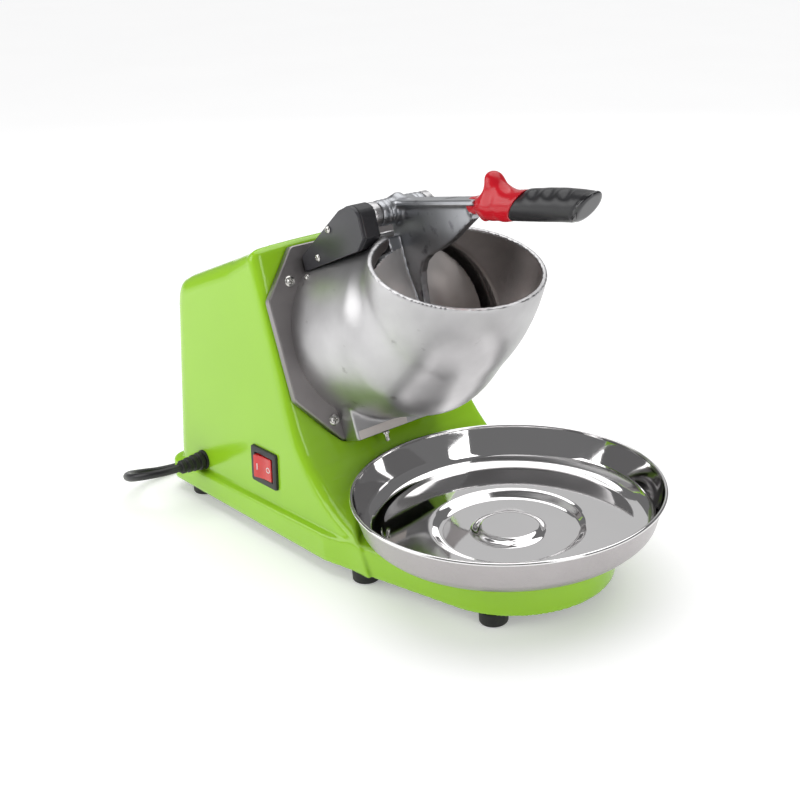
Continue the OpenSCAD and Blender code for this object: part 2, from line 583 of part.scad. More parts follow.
// Straight through the strain relief, then along the route
cord_path = concat([[-175, -72, 39], [-175, -118.3, 39]], spline(cord_route, 3),
    [cord_route[len(cord_route) - 1]]);
module tube(p, r) {
    n = len(p);
    sides = 8;
    rings = [for (i = [0:n - 1]) let (d = unit(p[min(i + 1, n - 1)] - p[max(i - 1, 0)]),
        s = unit(cross([0, 0, 1], d)), w = cross(d, s))
        for (k = [0:sides - 1]) p[i] + r * (cos(360 / sides * k) * s + sin(360 / sides * k) * w)];
    polyhedron(points = rings, faces = concat(
        [[for (k = [sides - 1:-1:0]) k]], [[for (k = [0:sides - 1]) (n - 1) * sides + k]],
        [for (i = [0:n - 2]) for (k = [0:sides - 1])
            [i * sides + k, i * sides + (k + 1) % sides, (i + 1) * sides + (k + 1) % sides, (i + 1) * sides + k]]));
}
module power_cord() color([0.06, 0.06, 0.06]) tube(cord_path, cord_r);
module cord_coil() color([0.06, 0.06, 0.06]) translate([coil_c[0], coil_c[1], 0.5])
    rotate_extrude($fn = 96) translate([coil_r - coil_cols * cord_r, 0])
        square([2 * coil_cols * cord_r, 2 * coil_rows * cord_r]);
module coil_tie() color("white") translate([coil_c[0] - coil_r, coil_c[1], 0.5 + coil_rows * cord_r]) difference() {
    cube([2 * coil_cols * cord_r + 2, 5, 2 * coil_rows * cord_r + 1], center = true);
    cube([2 * coil_cols * cord_r + 0.6, 9, 2 * coil_rows * cord_r + 0.1], center = true);
}
module plug_frame() translate(plug_c) rotate([0, 0, 90]) children();
module plug_body() color([0.06, 0.06, 0.06]) plug_frame() hull() {
    translate([0, 0, 10]) cube([22, 24, 20], center = true);
    translate([0, -24, 6.5]) cube([9, 6, 9], center = true);
}
module plug_pins() color("silver") plug_frame() {
    for (s = [-1, 1]) translate([s * 6.35, 20.5, 12]) cube([1.5, 17, 6.3], center = true);
    translate([0, 12, 5.5]) along_y() cylinder(r = 2.4, h = 19, $fn = 32);
}

housing_shell();
bottom_cover();
bottom_cover_screws();
feet();
foot_screws();
tray();
hopper_drum();
flange_gasket();
flange_screws();
outlet_label();
outlet_stud();
earth_screw();
switch_box();
switch_box_lid();
switch_box_screws();
micro_switch();
micro_switch_plunger();
lever_arm();
hinge_pin();
hinge_bushes();
pin_circlips();
switch_cam();
hand_guard();
hand_grip();
blade_disc();
blades();
blade_screws();
disc_nut();
motor_shaft();
rotor_core();
cooling_fan();
shaft_seal();
front_bearing();
rear_bearing();
motor_front_bell();
motor_rear_bell();
stator_core();
stator_windings();
motor_through_bolts();
motor_spacers();
run_capacitor();
capacitor_clamp();
terminal_block();
cord_clamp();
rocker_bezel();
rocker_button();
rocker_terminals();
strain_relief();
power_cord();
cord_coil();
coil_tie();
plug_body();
plug_pins();
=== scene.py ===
"""Looks of a shaved ice machine: cast head, moulded housing, polished tray, lever, switch and mains lead."""
import json
import math

import bpy
import numpy as np
from mathutils import Matrix, Vector

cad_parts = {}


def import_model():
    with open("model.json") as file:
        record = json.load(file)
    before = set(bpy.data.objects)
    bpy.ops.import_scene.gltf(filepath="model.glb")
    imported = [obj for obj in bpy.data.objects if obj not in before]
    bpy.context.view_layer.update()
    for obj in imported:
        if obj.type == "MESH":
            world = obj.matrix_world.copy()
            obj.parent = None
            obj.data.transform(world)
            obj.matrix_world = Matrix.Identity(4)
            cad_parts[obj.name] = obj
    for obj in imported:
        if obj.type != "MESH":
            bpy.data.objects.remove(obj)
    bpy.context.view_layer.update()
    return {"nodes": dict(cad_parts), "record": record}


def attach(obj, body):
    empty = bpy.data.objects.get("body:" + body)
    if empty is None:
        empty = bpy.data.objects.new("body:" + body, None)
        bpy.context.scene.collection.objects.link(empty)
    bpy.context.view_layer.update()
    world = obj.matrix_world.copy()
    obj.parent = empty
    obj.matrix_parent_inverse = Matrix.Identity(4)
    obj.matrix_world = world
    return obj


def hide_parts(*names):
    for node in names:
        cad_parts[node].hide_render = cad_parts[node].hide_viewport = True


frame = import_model()
NODES = frame["nodes"]
MM = 0.001

# ------------------------------------------------------------------ frames of the CAD, in millimetres
HEAD_TILT = math.radians(18)
DRUM_C = np.array([-52.0, 0.0, 163.5])
HINGE = np.array([76.0, 0.0, 87.0])          # in the head frame
LEVER_DROP = math.radians(9)                 # below the drum's axis
MOUTH_C = np.array([129.8, 0.0, 36.8])       # in the head frame
MOUTH_TILT = math.radians(35.1)
TRAY_X = 108.0
DECK_Z = 35.0                                # top of the base under the tray
SWITCH_C = np.array([-79.5, -92.2, 62.0])
SWITCH_TILT = math.radians(-3.1)


def turn_y(angle):
    """Rotation about +Y, as a 3 x 3 array that multiplies column vectors."""
    c, s = math.cos(angle), math.sin(angle)
    return np.array([[c, 0, s], [0, 1, 0], [-s, 0, c]])


HEAD = (turn_y(-HEAD_TILT), DRUM_C)
LEVER = (turn_y(LEVER_DROP - HEAD_TILT), DRUM_C + turn_y(-HEAD_TILT) @ HINGE)
SWITCH = (np.array(Matrix.Rotation(SWITCH_TILT, 3, "X")), SWITCH_C)
ROW = (np.eye(3), np.zeros(3))


def to_row(points, place):
    """Points of a local frame, in mm, as row-frame points in metres."""
    turn, origin = place
    return (np.asarray(points, float) @ turn.T + origin) * MM


# ------------------------------------------------------------------ camera
def make_camera():
    azimuth, elevation, roll = math.radians(45.95), math.radians(21.96), math.radians(-1.0)
    target = Vector((0.0396, 0.06715, 0.1067))
    distance = 1.0231
    back = Vector((math.sin(azimuth) * math.cos(elevation), -math.cos(azimuth) * math.cos(elevation),
                   math.sin(elevation)))
    right = Vector((math.cos(azimuth), math.sin(azimuth), 0.0))
    up = back.cross(right)
    r = right * math.cos(roll) + up * math.sin(roll)
    u = up * math.cos(roll) - right * math.sin(roll)
    data = bpy.data.cameras.new("camera")
    data.sensor_width = 36.0
    data.lens = 56.39
    data.shift_x = -0.135
    data.clip_end = 60.0
    camera = bpy.data.objects.new("camera", data)
    camera.matrix_world = Matrix((
        (r.x, u.x, back.x, target.x + back.x * distance),
        (r.y, u.y, back.y, target.y + back.y * distance),
        (r.z, u.z, back.z, target.z + back.z * distance),
        (0, 0, 0, 1)))
    bpy.context.scene.collection.objects.link(camera)
    bpy.context.scene.camera = camera


make_camera()
bpy.context.scene.view_settings.view_transform = "Standard"


# ------------------------------------------------------------------ materials
def material(name, color, metallic=0.0, rough=0.4, vary=0.06, rough_vary=0.06, grain=900.0, cloud=30.0,
             bump=0.02, stretch=(1, 1, 1), coat=0.0, spec=0.5, dark=None, dark_at=0.62):
    """Procedural finish: a broad change of tone, a fine grain in roughness and bump, optional dark marks.

    grain and cloud are noise scales, bump is a depth in mm, dark_at is where the dark marks begin.
    """
    m = bpy.data.materials.new(name)
    m.use_nodes = True
    nodes, links = m.node_tree.nodes, m.node_tree.links
    shader = nodes["Principled BSDF"]
    shader.inputs["Metallic"].default_value = metallic
    shader.inputs["Coat Weight"].default_value = coat
    shader.inputs["Coat Roughness"].default_value = 0.06
    shader.inputs["Specular IOR Level"].default_value = spec
    place = nodes.new("ShaderNodeTexCoord")
    mapping = nodes.new("ShaderNodeMapping")
    mapping.inputs["Scale"].default_value = stretch
    links.new(place.outputs["Object"], mapping.inputs["Vector"])

    def noise(scale, detail, vector):
        n = nodes.new("ShaderNodeTexNoise")
        n.inputs["Scale"].default_value = scale
        n.inputs["Detail"].default_value = detail
        links.new(vector, n.inputs["Vector"])
        return n.outputs["Fac"]

    broad = noise(cloud, 3.0, place.outputs["Object"])
    fine = noise(grain, 4.0, mapping.outputs["Vector"])
    ramp = nodes.new("ShaderNodeValToRGB")
    ramp.color_ramp.elements[0].position = 0.3
    ramp.color_ramp.elements[1].position = 0.72
    ramp.color_ramp.elements[0].color = tuple(max(c * (1 - vary), 0) for c in color) + (1,)
    ramp.color_ramp.elements[1].color = tuple(min(c * (1 + vary), 1) for c in color) + (1,)
    links.new(broad, ramp.inputs["Fac"])
    tone = ramp.outputs["Color"]
    if dark:
        spots = nodes.new("ShaderNodeValToRGB")
        spots.color_ramp.elements[0].position = dark_at
        spots.color_ramp.elements[1].position = dark_at + 0.12
        links.new(noise(cloud * 2.6, 6.0, place.outputs["Object"]), spots.inputs["Fac"])
        mix = nodes.new("ShaderNodeMix")
        mix.data_type = "RGBA"
        links.new(spots.outputs["Color"], mix.inputs["Factor"])
        links.new(tone, mix.inputs["A"])
        mix.inputs["B"].default_value = tuple(dark) + (1,)
        tone = mix.outputs["Result"]
    links.new(tone, shader.inputs["Base Color"])
    span = nodes.new("ShaderNodeMapRange")
    span.inputs["To Min"].default_value = max(rough - rough_vary, 0.02)
    span.inputs["To Max"].default_value = rough + rough_vary
    links.new(fine, span.inputs["Value"])
    links.new(span.outputs["Result"], shader.inputs["Roughness"])
    relief = nodes.new("ShaderNodeBump")
    relief.inputs["Strength"].default_value = 1.0
    relief.inputs["Distance"].default_value = bump * MM
    links.new(fine, relief.inputs["Height"])
    links.new(relief.outputs["Normal"], shader.inputs["Normal"])
    return m


LIME = material("lime_gloss_plastic", (0.35, 0.68, 0.022), rough=0.18, vary=0.03, rough_vary=0.04,
                grain=420, cloud=9, bump=0.012, coat=0.3, spec=0.4)
CAST = material("cast_aluminium", (0.52, 0.515, 0.52), metallic=1.0, rough=0.36, vary=0.12,
                rough_vary=0.10, grain=1300, cloud=26, bump=0.05, dark=(0.27, 0.26, 0.26), dark_at=0.66)
# inside of the bowl and drum: a rougher casting, and its darker colour is painted shade for the hollow
CAST_SHADED_INSIDE = material("cast_aluminium_inside_painted_shade", (0.44, 0.41, 0.40), metallic=1.0, rough=0.42, vary=0.22,
                       rough_vary=0.10, grain=1100, cloud=24, bump=0.05)
MACHINED = material("machined_aluminium", (0.33, 0.31, 0.31), metallic=1.0, rough=0.45, vary=0.06,
                    grain=1800, cloud=40, bump=0.03)
LEVER_METAL = material("lever_casting", (0.43, 0.44, 0.46), metallic=1.0, rough=0.36, vary=0.16,
                       rough_vary=0.10, grain=900, cloud=34, bump=0.06, dark=(0.20, 0.20, 0.22),
                       dark_at=0.6)
# turned front face of the pusher plate: a real brighter finish, with its colour raised further as painted
# light because it gets little light inside the bowl
PLATE_TURNED_AND_LIT = material("pusher_plate_turned_face_painted_light", (0.88, 0.85, 0.83), metallic=1.0, rough=0.36, vary=0.10,
                 rough_vary=0.10, grain=1400, cloud=30, bump=0.05)
MIRROR = material("polished_steel", (0.80, 0.79, 0.79), metallic=1.0, rough=0.045, vary=0.02,
                  rough_vary=0.02, grain=700, cloud=14, bump=0.004)
BRUSHED = material("brushed_steel", (0.46, 0.435, 0.44), metallic=1.0, rough=0.30, vary=0.05,
                   rough_vary=0.09, grain=260, cloud=20, bump=0.02, stretch=(1, 1, 18))
ZINC = material("zinc_screw", (0.66, 0.65, 0.62), metallic=1.0, rough=0.24, vary=0.10, grain=2600,
                cloud=160, bump=0.02)
BLACK = material("black_plastic", (0.022, 0.022, 0.025), rough=0.40, vary=0.15, rough_vary=0.08,
                 grain=2400, cloud=60, bump=0.03)
BLACK_LID = material("black_lid_film", (0.042, 0.042, 0.048), rough=0.32, vary=0.06, rough_vary=0.05,
                     grain=1600, cloud=20, bump=0.01)
GRIP = material("black_grip", (0.018, 0.018, 0.020), rough=0.34, vary=0.2, rough_vary=0.10, grain=1500,
                cloud=50, bump=0.05)
GRIP_CAP = material("grip_cap_gloss", (0.016, 0.016, 0.018), rough=0.14, vary=0.2, rough_vary=0.05,
                    grain=900, cloud=50, bump=0.01, coat=0.4)
RUBBER = material("black_rubber", (0.012, 0.012, 0.012), rough=0.55, vary=0.2, rough_vary=0.08,
                  grain=1500, cloud=80, bump=0.04)
CORD = material("cord_pvc", (0.012, 0.012, 0.013), rough=0.38, vary=0.2, rough_vary=0.06, grain=1200,
                cloud=60, bump=0.02)
RED = material("red_gloss_plastic", (0.62, 0.010, 0.022), rough=0.20, vary=0.07, rough_vary=0.06,
               grain=700, cloud=50, bump=0.02, coat=0.1, spec=0.35)
RED_LENS = material("red_rocker_plastic", (0.70, 0.012, 0.012), rough=0.16, vary=0.06, rough_vary=0.04,
                    grain=900, cloud=90, bump=0.01, coat=0.5)
WHITE = material("white_plastic", (0.78, 0.76, 0.70), rough=0.42, vary=0.05, grain=1500, cloud=60,
                 bump=0.02)
PRINT = material("white_print", (0.85, 0.80, 0.78), rough=0.5, vary=0.04, grain=1200, cloud=80, bump=0.01)
LABEL = material("blank_label", (0.80, 0.74, 0.70), rough=0.45, vary=0.05, grain=1400, cloud=50,
                 bump=0.01)
CORE = material("laminated_core", (0.22, 0.23, 0.25), metallic=1.0, rough=0.45, vary=0.1, grain=700,
                cloud=60, bump=0.2, stretch=(6, 1, 1))
COPPER = material("enamelled_copper", (0.55, 0.20, 0.07), metallic=1.0, rough=0.35, vary=0.15, grain=900,
                  cloud=120, bump=0.3, stretch=(5, 1, 1))
BRASS = material("tinned_brass", (0.72, 0.58, 0.30), metallic=1.0, rough=0.28, vary=0.08, grain=1500,
                 cloud=90, bump=0.02)
GREY = material("grey_bottom_plastic", (0.10, 0.10, 0.10), rough=0.5, vary=0.1, grain=1300, cloud=30,
                bump=0.04)
BLADE = material("ground_blade_steel", (0.72, 0.72, 0.74), metallic=1.0, rough=0.18, vary=0.04, grain=500,
                 cloud=40, bump=0.02, stretch=(1, 8, 1))
DISC = material("turned_disc", (0.62, 0.62, 0.63), metallic=1.0, rough=0.26, vary=0.06, grain=700,
                cloud=30, bump=0.03)

SLOT_MATERIAL = {
    "lime_plastic": LIME, "grey_plastic": GREY, "bright_screw": ZINC, "black_rubber": RUBBER,
    "polished_steel": MIRROR, "cast_aluminium": CAST, "white_label": LABEL, "black_plastic": BLACK,
    "red_plastic": RED, "white_plastic": WHITE, "machined_disc": DISC, "blade_steel": BLADE,
    "core_steel": CORE, "copper_winding": COPPER, "brass_tab": BRASS, "cord_rubber": CORD}
SLOT_OF = {part["node"]: part["material_slot"] for part in frame["record"]["subparts"]}
for node_name, node_object in NODES.items():
    node_object.data.materials.clear()
    node_object.data.materials.append(SLOT_MATERIAL[SLOT_OF[node_name]])


# ------------------------------------------------------------------ mesh tools
def piece(name, points, faces, place, body, slot, mats, replaces=(), face_mats=None, sharp=None):
    """One mesh piece of the object, from points in a local frame in mm."""
    mesh = bpy.data.meshes.new(name)
    mesh.from_pydata(to_row(points, place).tolist(), [], [tuple(f) for f in faces])
    mesh.validate()
    for m in mats:
        mesh.materials.append(m)
    mesh.polygons.foreach_set("use_smooth", [True] * len(mesh.polygons))
    if face_mats is not None:
        mesh.polygons.foreach_set("material_index", np.asarray(face_mats, np.int32))
    if sharp is not None:
        mesh.set_sharp_from_angle(angle=math.radians(sharp))
    mesh.update()
    obj = bpy.data.objects.new(name, mesh)
    bpy.context.scene.collection.objects.link(obj)
    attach(obj, body)
    if replaces:
        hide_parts(*replaces)
    return obj


def joined(parts):
    """Several (points, faces) in one."""
    points, faces = [], []
    for some_points, some_faces in parts:
        shift = len(points)
        points += [tuple(p) for p in some_points]
        faces += [tuple(i + shift for i in f) for f in some_faces]
    return points, faces


def soft_corner(a, b, c, radius, steps):
    """Points of a small curve that replaces the corner b between a and c."""
    ends = []
    for q in (a, c):
        gap = math.hypot(q[0] - b[0], q[1] - b[1])
        share = min(radius, 0.45 * gap) / gap
        ends.append((b[0] + (q[0] - b[0]) * share, b[1] + (q[1] - b[1]) * share))
    curve = []
    for k in range(steps + 1):
        t = k / steps
        curve.append(tuple((1 - t) ** 2 * ends[0][i] + 2 * t * (1 - t) * b[i] + t * t * ends[1][i]
                           for i in (0, 1)))
    return curve


def corner_rounded(outline, radius, steps):
    """The outline with each corner replaced by a small curve."""
    corners = zip(outline[-1:] + outline[:-1], outline, outline[1:] + outline[:1])
    return [q for a, b, c in corners for q in soft_corner(a, b, c, radius, steps)]


def revolve(profile, turns=96, axis="z"):
    """Surface of revolution of (radius, height) points; radius 0 closes it."""
    points, faces, rows = [], [], []
    angles = [2 * math.pi * k / turns for k in range(turns)]
    for radius, height in profile:
        if radius <= 1e-6:
            rows.append([len(points)] * turns)
            points.append((0, 0, height))
        else:
            rows.append([len(points) + k for k in range(turns)])
            points += [(radius * math.cos(t), radius * math.sin(t), height) for t in angles]
    for low, high in zip(rows, rows[1:]):
        for k in range(turns):
            face = [low[k], low[(k + 1) % turns], high[(k + 1) % turns], high[k]]
            face = [v for i, v in enumerate(face) if v not in face[:i]]
            if len(face) > 2:
                faces.append(tuple(face))
    points = np.array(points, float)
    if axis == "x":
        points = points[:, [2, 0, 1]]
    if axis == "-y":
        points = np.stack([points[:, 0], -points[:, 2], points[:, 1]], 1)
    return points, faces


def smooth_line(knots, per=6):
    """Catmull-Rom curve through the knots."""
    knots = [np.asarray(k, float) for k in knots]
    line = []
    for i in range(len(knots) - 1):
        a, b = knots[max(i - 1, 0)], knots[i]
        c, d = knots[i + 1], knots[min(i + 2, len(knots) - 1)]
        for k in range(per):
            t = k / per
            line.append(0.5 * (2 * b + (c - a) * t + (2 * a - 5 * b + 4 * c - d) * t * t
                               + (3 * b - a - 3 * c + d) * t ** 3))
    return line + [knots[-1]]


# ------------------------------------------------------------------ solids as distance fields
def smax(a, b, k):
    h = np.maximum(k - np.abs(a - b), 0.0) / k
    return np.maximum(a, b) + h * h * k * 0.25


def smin(a, b, k):
    return -smax(-a, -b, k)


def sd_polygon(px, py, outline):
    """Signed distance to a closed outline."""
    outline = np.asarray(outline, float)
    best = np.full(px.shape, 1e18)
    inside = np.zeros(px.shape, bool)
    for (ax, ay), (bx, by) in zip(outline, np.roll(outline, -1, 0)):
        ex, ey = bx - ax, by - ay
        wx, wy = px - ax, py - ay
        t = np.clip((wx * ex + wy * ey) / (ex * ex + ey * ey), 0, 1)
        best = np.minimum(best, (wx - ex * t) ** 2 + (wy - ey * t) ** 2)
        if ay != by:
            cross = (ay > py) != (by > py)
            inside ^= cross & (px < ex * (py - ay) / ey + ax)
    return np.where(inside, -1, 1) * np.sqrt(best)


def sd_box(p, centre, half, rounding=0.0):
    q = np.abs(p - np.asarray(centre, float)) - (np.asarray(half, float) - rounding)
    return np.linalg.norm(np.maximum(q, 0), axis=-1) + np.minimum(q.max(-1), 0) - rounding


def sd_capsule(p, a, b, ra, rb):
    a, b = np.asarray(a, float), np.asarray(b, float)
    ab = b - a
    t = np.clip(((p - a) @ ab) / (ab @ ab), 0, 1)
    return np.linalg.norm(p - a - t[:, None] * ab, axis=-1) - (ra + (rb - ra) * t)


def skin(field, low, high, cell):
    """Quad mesh on the zero surface of a field (surface nets), its points moved onto the surface."""
    low, high = np.asarray(low, float), np.asarray(high, float)
    n = np.ceil((high - low) / cell).astype(int) + 1
    grid = np.stack(np.meshgrid(*[low[i] + cell * np.arange(n[i]) for i in range(3)], indexing="ij"), -1)
    value = np.concatenate([field(part) for part in np.array_split(grid.reshape(-1, 3), 8)]).reshape(n)
    cells = n - 1
    total = np.zeros((cells.prod(), 3))
    count = np.zeros(cells.prod())
    edges = []
    for axis in range(3):
        b, c = (axis + 1) % 3, (axis + 2) % 3
        first = [slice(None)] * 3
        second = [slice(None)] * 3
        first[axis], second[axis] = slice(None, -1), slice(1, None)
        va, vb = value[tuple(first)], value[tuple(second)]
        index = np.argwhere((va < 0) != (vb < 0))
        a0, b0 = va[tuple(index.T)], vb[tuple(index.T)]
        spot = low + index * cell
        spot[:, axis] += cell * a0 / (a0 - b0)
        ring = []
        for db, dc in ((0, 0), (1, 0), (1, 1), (0, 1)):
            near = index.copy()
            near[:, b] -= db
            near[:, c] -= dc
            good = ((near >= 0) & (near < cells)).all(1)
            flat = np.where(good, (near[:, 0] * cells[1] + near[:, 1]) * cells[2] + near[:, 2], -1)
            for k in range(3):
                total[:, k] += np.bincount(flat[good], spot[good, k], minlength=len(count))
            count += np.bincount(flat[good], minlength=len(count))
            ring.append(flat)
        ring = np.stack(ring, 1)
        whole = (ring >= 0).all(1)
        ring = np.where((a0 < 0)[:, None], ring, ring[:, ::-1])
        edges.append(ring[whole])
    used = np.flatnonzero(count)
    number = np.full(len(count), -1)
    number[used] = np.arange(len(used))
    points = total[used] / count[used, None]
    faces = number[np.concatenate(edges)]
    step = 0.02
    for _ in range(4):
        here = field(points)
        slope = np.stack([(field(points + step * e) - field(points - step * e)) / (2 * step)
                          for e in np.eye(3)], 1)
        size = np.maximum((slope ** 2).sum(1), 0.05)
        move = -here[:, None] * slope / size[:, None]
        length = np.linalg.norm(move, axis=1)
        points = points + move * np.minimum(1, 0.5 * cell / np.maximum(length, 1e-9))[:, None]
    return points, faces


# ------------------------------------------------------------------ mains lead
CORD_R = 3.5
RELIEF_AT = (-175, -94.1, 39)                # root of the strain relief on the housing's side
CORD_ROUTE = [
    (-175, -106, 39), (-175, -119.5, 39), (-178.6, -131, 38.1), (-185.2, -140, 36.5), (-194, -146, 33.9),
    (-204, -148, 30.6), (-214.8, -146.2, 27), (-225.5, -141, 23), (-235, -133, 18.5), (-242, -123.5, 14),
    (-246.5, -112.5, 10), (-248, -101, 7), (-249, -84, 4.5), (-249, -66, 4), (-248.5, -47, 4), (-247, -28, 4),
    (-244.5, -9, 4), (-242.5, 10, 4), (-241.2, 30, 4), (-241, 45, 4), (-241, 60, 4)]
COIL_C = (-285.5, 60.0)
COIL_MEAN = 37.5                             # radius of the coil's middle turns
COIL_LOW, COIL_HIGH = 4.0, 11.0              # heights of its two layers
PLUG = (np.array(Matrix.Rotation(math.radians(90), 3, "Z")), np.array([-341.0, 104.5, 0.5]))


def ease(s):
    return s * s * (3 - 2 * s)


def coil_points(steps=48, turns=6.25):
    """Three turns inwards on the floor, three outwards on top of them, each shifting over in half a turn."""
    ring = [COIL_MEAN + 2 * CORD_R * k for k in (1, 0, -1, -1, 0, 1, 1)]
    points = []
    for k in range(1, round(steps * turns) + 1):
        turn, part = divmod(k, steps)
        share = min(part / steps / 0.5, 1.0)
        r = ring[max(turn - 1, 0)] + (ring[turn] - ring[max(turn - 1, 0)]) * ease(share)
        z = COIL_LOW if turn < 3 else COIL_HIGH
        if turn == 3:
            z = COIL_LOW + (COIL_HIGH - COIL_LOW) * ease(share)
            r -= 2.2 * math.sin(math.pi * share) ** 2
        angle = 2 * math.pi * k / steps
        points.append((COIL_C[0] + r * math.cos(angle), COIL_C[1] + r * math.sin(angle), z))
    return points


def mains_lead():
    """Lead from the relief to the plug: the route, the coil, and a short end down to the plug's tail."""
    top = COIL_C[1] + COIL_MEAN + 2 * CORD_R
    line = [tuple(q) for q in smooth_line(CORD_ROUTE, 4)] + coil_points()
    line += [(COIL_C[0] - 10, top, 10.6), (COIL_C[0] - 20, top, 8.8), (-315, top, 7.2)]
    curve = bpy.data.curves.new("mains_lead", "CURVE")
    curve.dimensions = "3D"
    curve.bevel_depth = CORD_R * MM
    curve.bevel_resolution = 5
    curve.use_fill_caps = True
    spline = curve.splines.new("POLY")
    spline.points.add(len(line) - 1)
    for point, place in zip(spline.points, line):
        point.co = (place[0] * MM, place[1] * MM, place[2] * MM, 1)
    spline.use_smooth = True
    curve.materials.append(CORD)
    obj = bpy.data.objects.new("mains_lead", curve)
    bpy.context.scene.collection.objects.link(obj)
    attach(obj, "machine")
    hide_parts("power_cord", "cord_coil")
    return obj


def rounded(half_w, half_h, r, steps=5):
    """Outline of a rounded rectangle about the origin."""
    line = []
    for k, (sx, sy) in enumerate(((1, 1), (-1, 1), (-1, -1), (1, -1))):
        for i in range(steps + 1):
            t = math.radians(90 * (k + i / steps))
            line.append((sx * (half_w - r) + r * math.cos(t), sy * (half_h - r) + r * math.sin(t)))
    return line


def loft(rings, close=True):
    """Skin through rings of equal point counts, with end caps."""
    n = len(rings[0])
    points = [tuple(q) for ring in rings for q in ring]
    faces = [(i * n + k, i * n + (k + 1) % n, (i + 1) * n + (k + 1) % n, (i + 1) * n + k)
             for i in range(len(rings) - 1) for k in range(n)]
    if close:
        faces += [tuple(range(n - 1, -1, -1)), tuple(range((len(rings) - 1) * n, len(rings) * n))]
    return points, faces


def plug_pieces():
    """Moulded plug with a waisted tail, and its two blades and earth pin."""
    # along the plug, half width, half height, height of the middle, corner radius
    stations = [(-27, 4.5, 4.5, 6.5, 4.0), (-24, 4.9, 4.9, 6.8, 4.4), (-20, 5.6, 5.6, 7.4, 4.6),
                (-16, 7.0, 6.8, 8.2, 4.8), (-12, 9.4, 8.6, 9.3, 5.0), (-7, 10.7, 9.7, 9.9, 5.0),
                (0, 10.9, 9.9, 10.0, 5.0), (9.6, 10.9, 9.9, 10.0, 5.0), (11.4, 10.3, 9.4, 10.0, 4.6),
                (12, 9.4, 8.5, 10.0, 4.2)]
    rings = [[(x, y, z0 + z) for x, z in rounded(w, h, min(r, w, h) * 0.95)][::-1]
             for y, w, h, z0, r in stations]
    body = piece("plug", *loft(rings), PLUG, "machine", "cord_rubber", [CORD], ["plug_body"], sharp=50)
    pins = []
    for side in (-1, 1):
        tips = [(12, 1.0), (27.4, 1.0), (29, 0.72)]
        pins.append(loft([[(side * 6.35 + x * k, y, 12 + z * k) for x, z in rounded(0.75, 3.15, 0.5, 2)][::-1]
                          for y, k in tips]))
    earth = [(0, -12), (2.4, -12), (2.4, -29.2), (1.9, -30.4), (0.9, -31), (0, -31)]
    round_pin, round_faces = revolve(earth, 24, "-y")
    pins.append((round_pin + np.array([0, 0, 5.5]), round_faces))
    blades = piece("plug_blades", *joined(pins), PLUG, "machine", "brass_tab", [BRASS], ["plug_pins"],
                   sharp=40)
    return body, blades


def coil_tie():
    """Flat band round the coil's turns, on the side away from the housing."""
    centre_x, middle_z, half_width = COIL_C[0] - COIL_MEAN, 7.5, 2.4
    outer = [(centre_x + x, middle_z + z) for x, z in rounded(11.4, 7.35, 3.2)]
    inner = [(centre_x + x, middle_z + z) for x, z in rounded(10.9, 7.05, 3.0)]
    n = len(outer)
    points = [(x, COIL_C[1] + y, z) for line in (outer, inner) for y in (-half_width, half_width)
              for x, z in line]
    faces = []
    for k in range(n):
        j = (k + 1) % n
        faces += [(k, n + k, n + j, j), (2 * n + j, 3 * n + j, 3 * n + k, 2 * n + k),
                  (k, j, 2 * n + j, 2 * n + k), (n + j, n + k, 3 * n + k, 3 * n + j)]
    return piece("cord_tie", points, faces, ROW, "machine", "white_plastic", [WHITE], ["coil_tie"], sharp=50)


def relief():
    """Ribbed strain relief: a tapered sleeve with four collars."""
    profile = [(6.3, 2), (8.6, 1), (8.6, -0.6), (7.2, -1.4)]
    for k in range(4):
        at = 2.4 + k * 5.6
        sleeve, collar = 6.6 - 0.55 * k, 7.9 - 0.65 * k
        profile += [(sleeve, -at + 0.9), (collar, -at), (collar - 0.1, -at - 3.0), (sleeve - 0.35, -at - 3.8)]
    profile += [(4.7, -23.4), (4.2, -24), (3.4, -24), (3.4, -16)]
    points, faces = revolve(profile, 40, "z")
    points = np.stack([points[:, 0], points[:, 2], points[:, 1]], 1) + np.array(RELIEF_AT)
    faces = [tuple(reversed(f)) for f in faces]
    piece("cord_relief", points, faces, ROW, "machine", "black_rubber", [RUBBER], ["strain_relief"], sharp=40)


LEAD = mains_lead()
LEAD_PIECES = [*plug_pieces(), coil_tie()]
relief()


# ------------------------------------------------------------------ housing
REAR_X = -225
WALL = 5
SKIRT_Z = 11                                 # lower edge of the skirt
FACE_A = -7.0                                # the slanted face, along the drum's axis
FLANGE_ROUND = 6                             # corner radius round the outline below
FLANGE = [(-78, -36), (-47, -74), (47, -74), (78, -36), (78, 40), (50, 73), (-50, 73), (-78, 40)]


def head_of(p):
    """Row points in mm as head points."""
    return (p - DRUM_C) @ HEAD[0]


def on_face(a, u):
    """Side-view point (x, z) at the place a, u of the head frame."""
    q = HEAD[0] @ np.array([a, 0, u]) + DRUM_C
    return q[0], q[2]


def side_outline():
    """Side view of the upper housing: back, roof, slanted face and flare."""
    h, flare_r, flare_top_z = HEAD_TILT, 122, 120
    top = on_face(FACE_A, (flare_top_z - DRUM_C[2] - FACE_A * math.sin(h)) / math.cos(h))
    flare = [(top[0] + flare_r * (math.sin(t) * math.sin(h) + (1 - math.cos(t)) * math.cos(h)),
              top[1] + flare_r * (-math.sin(t) * math.cos(h) + (1 - math.cos(t)) * math.sin(h)))
             for t in np.radians(np.arange(0, 73, 6))]
    return [(REAR_X, 0), (-224.4, 40), (-214, 176), (-210, 187), (-204, 193.5), (-192, 199.3),
            on_face(FACE_A - 14, 82.8), on_face(FACE_A - 4, 84.6), on_face(FACE_A, 80.6), *flare, (85, 0)]


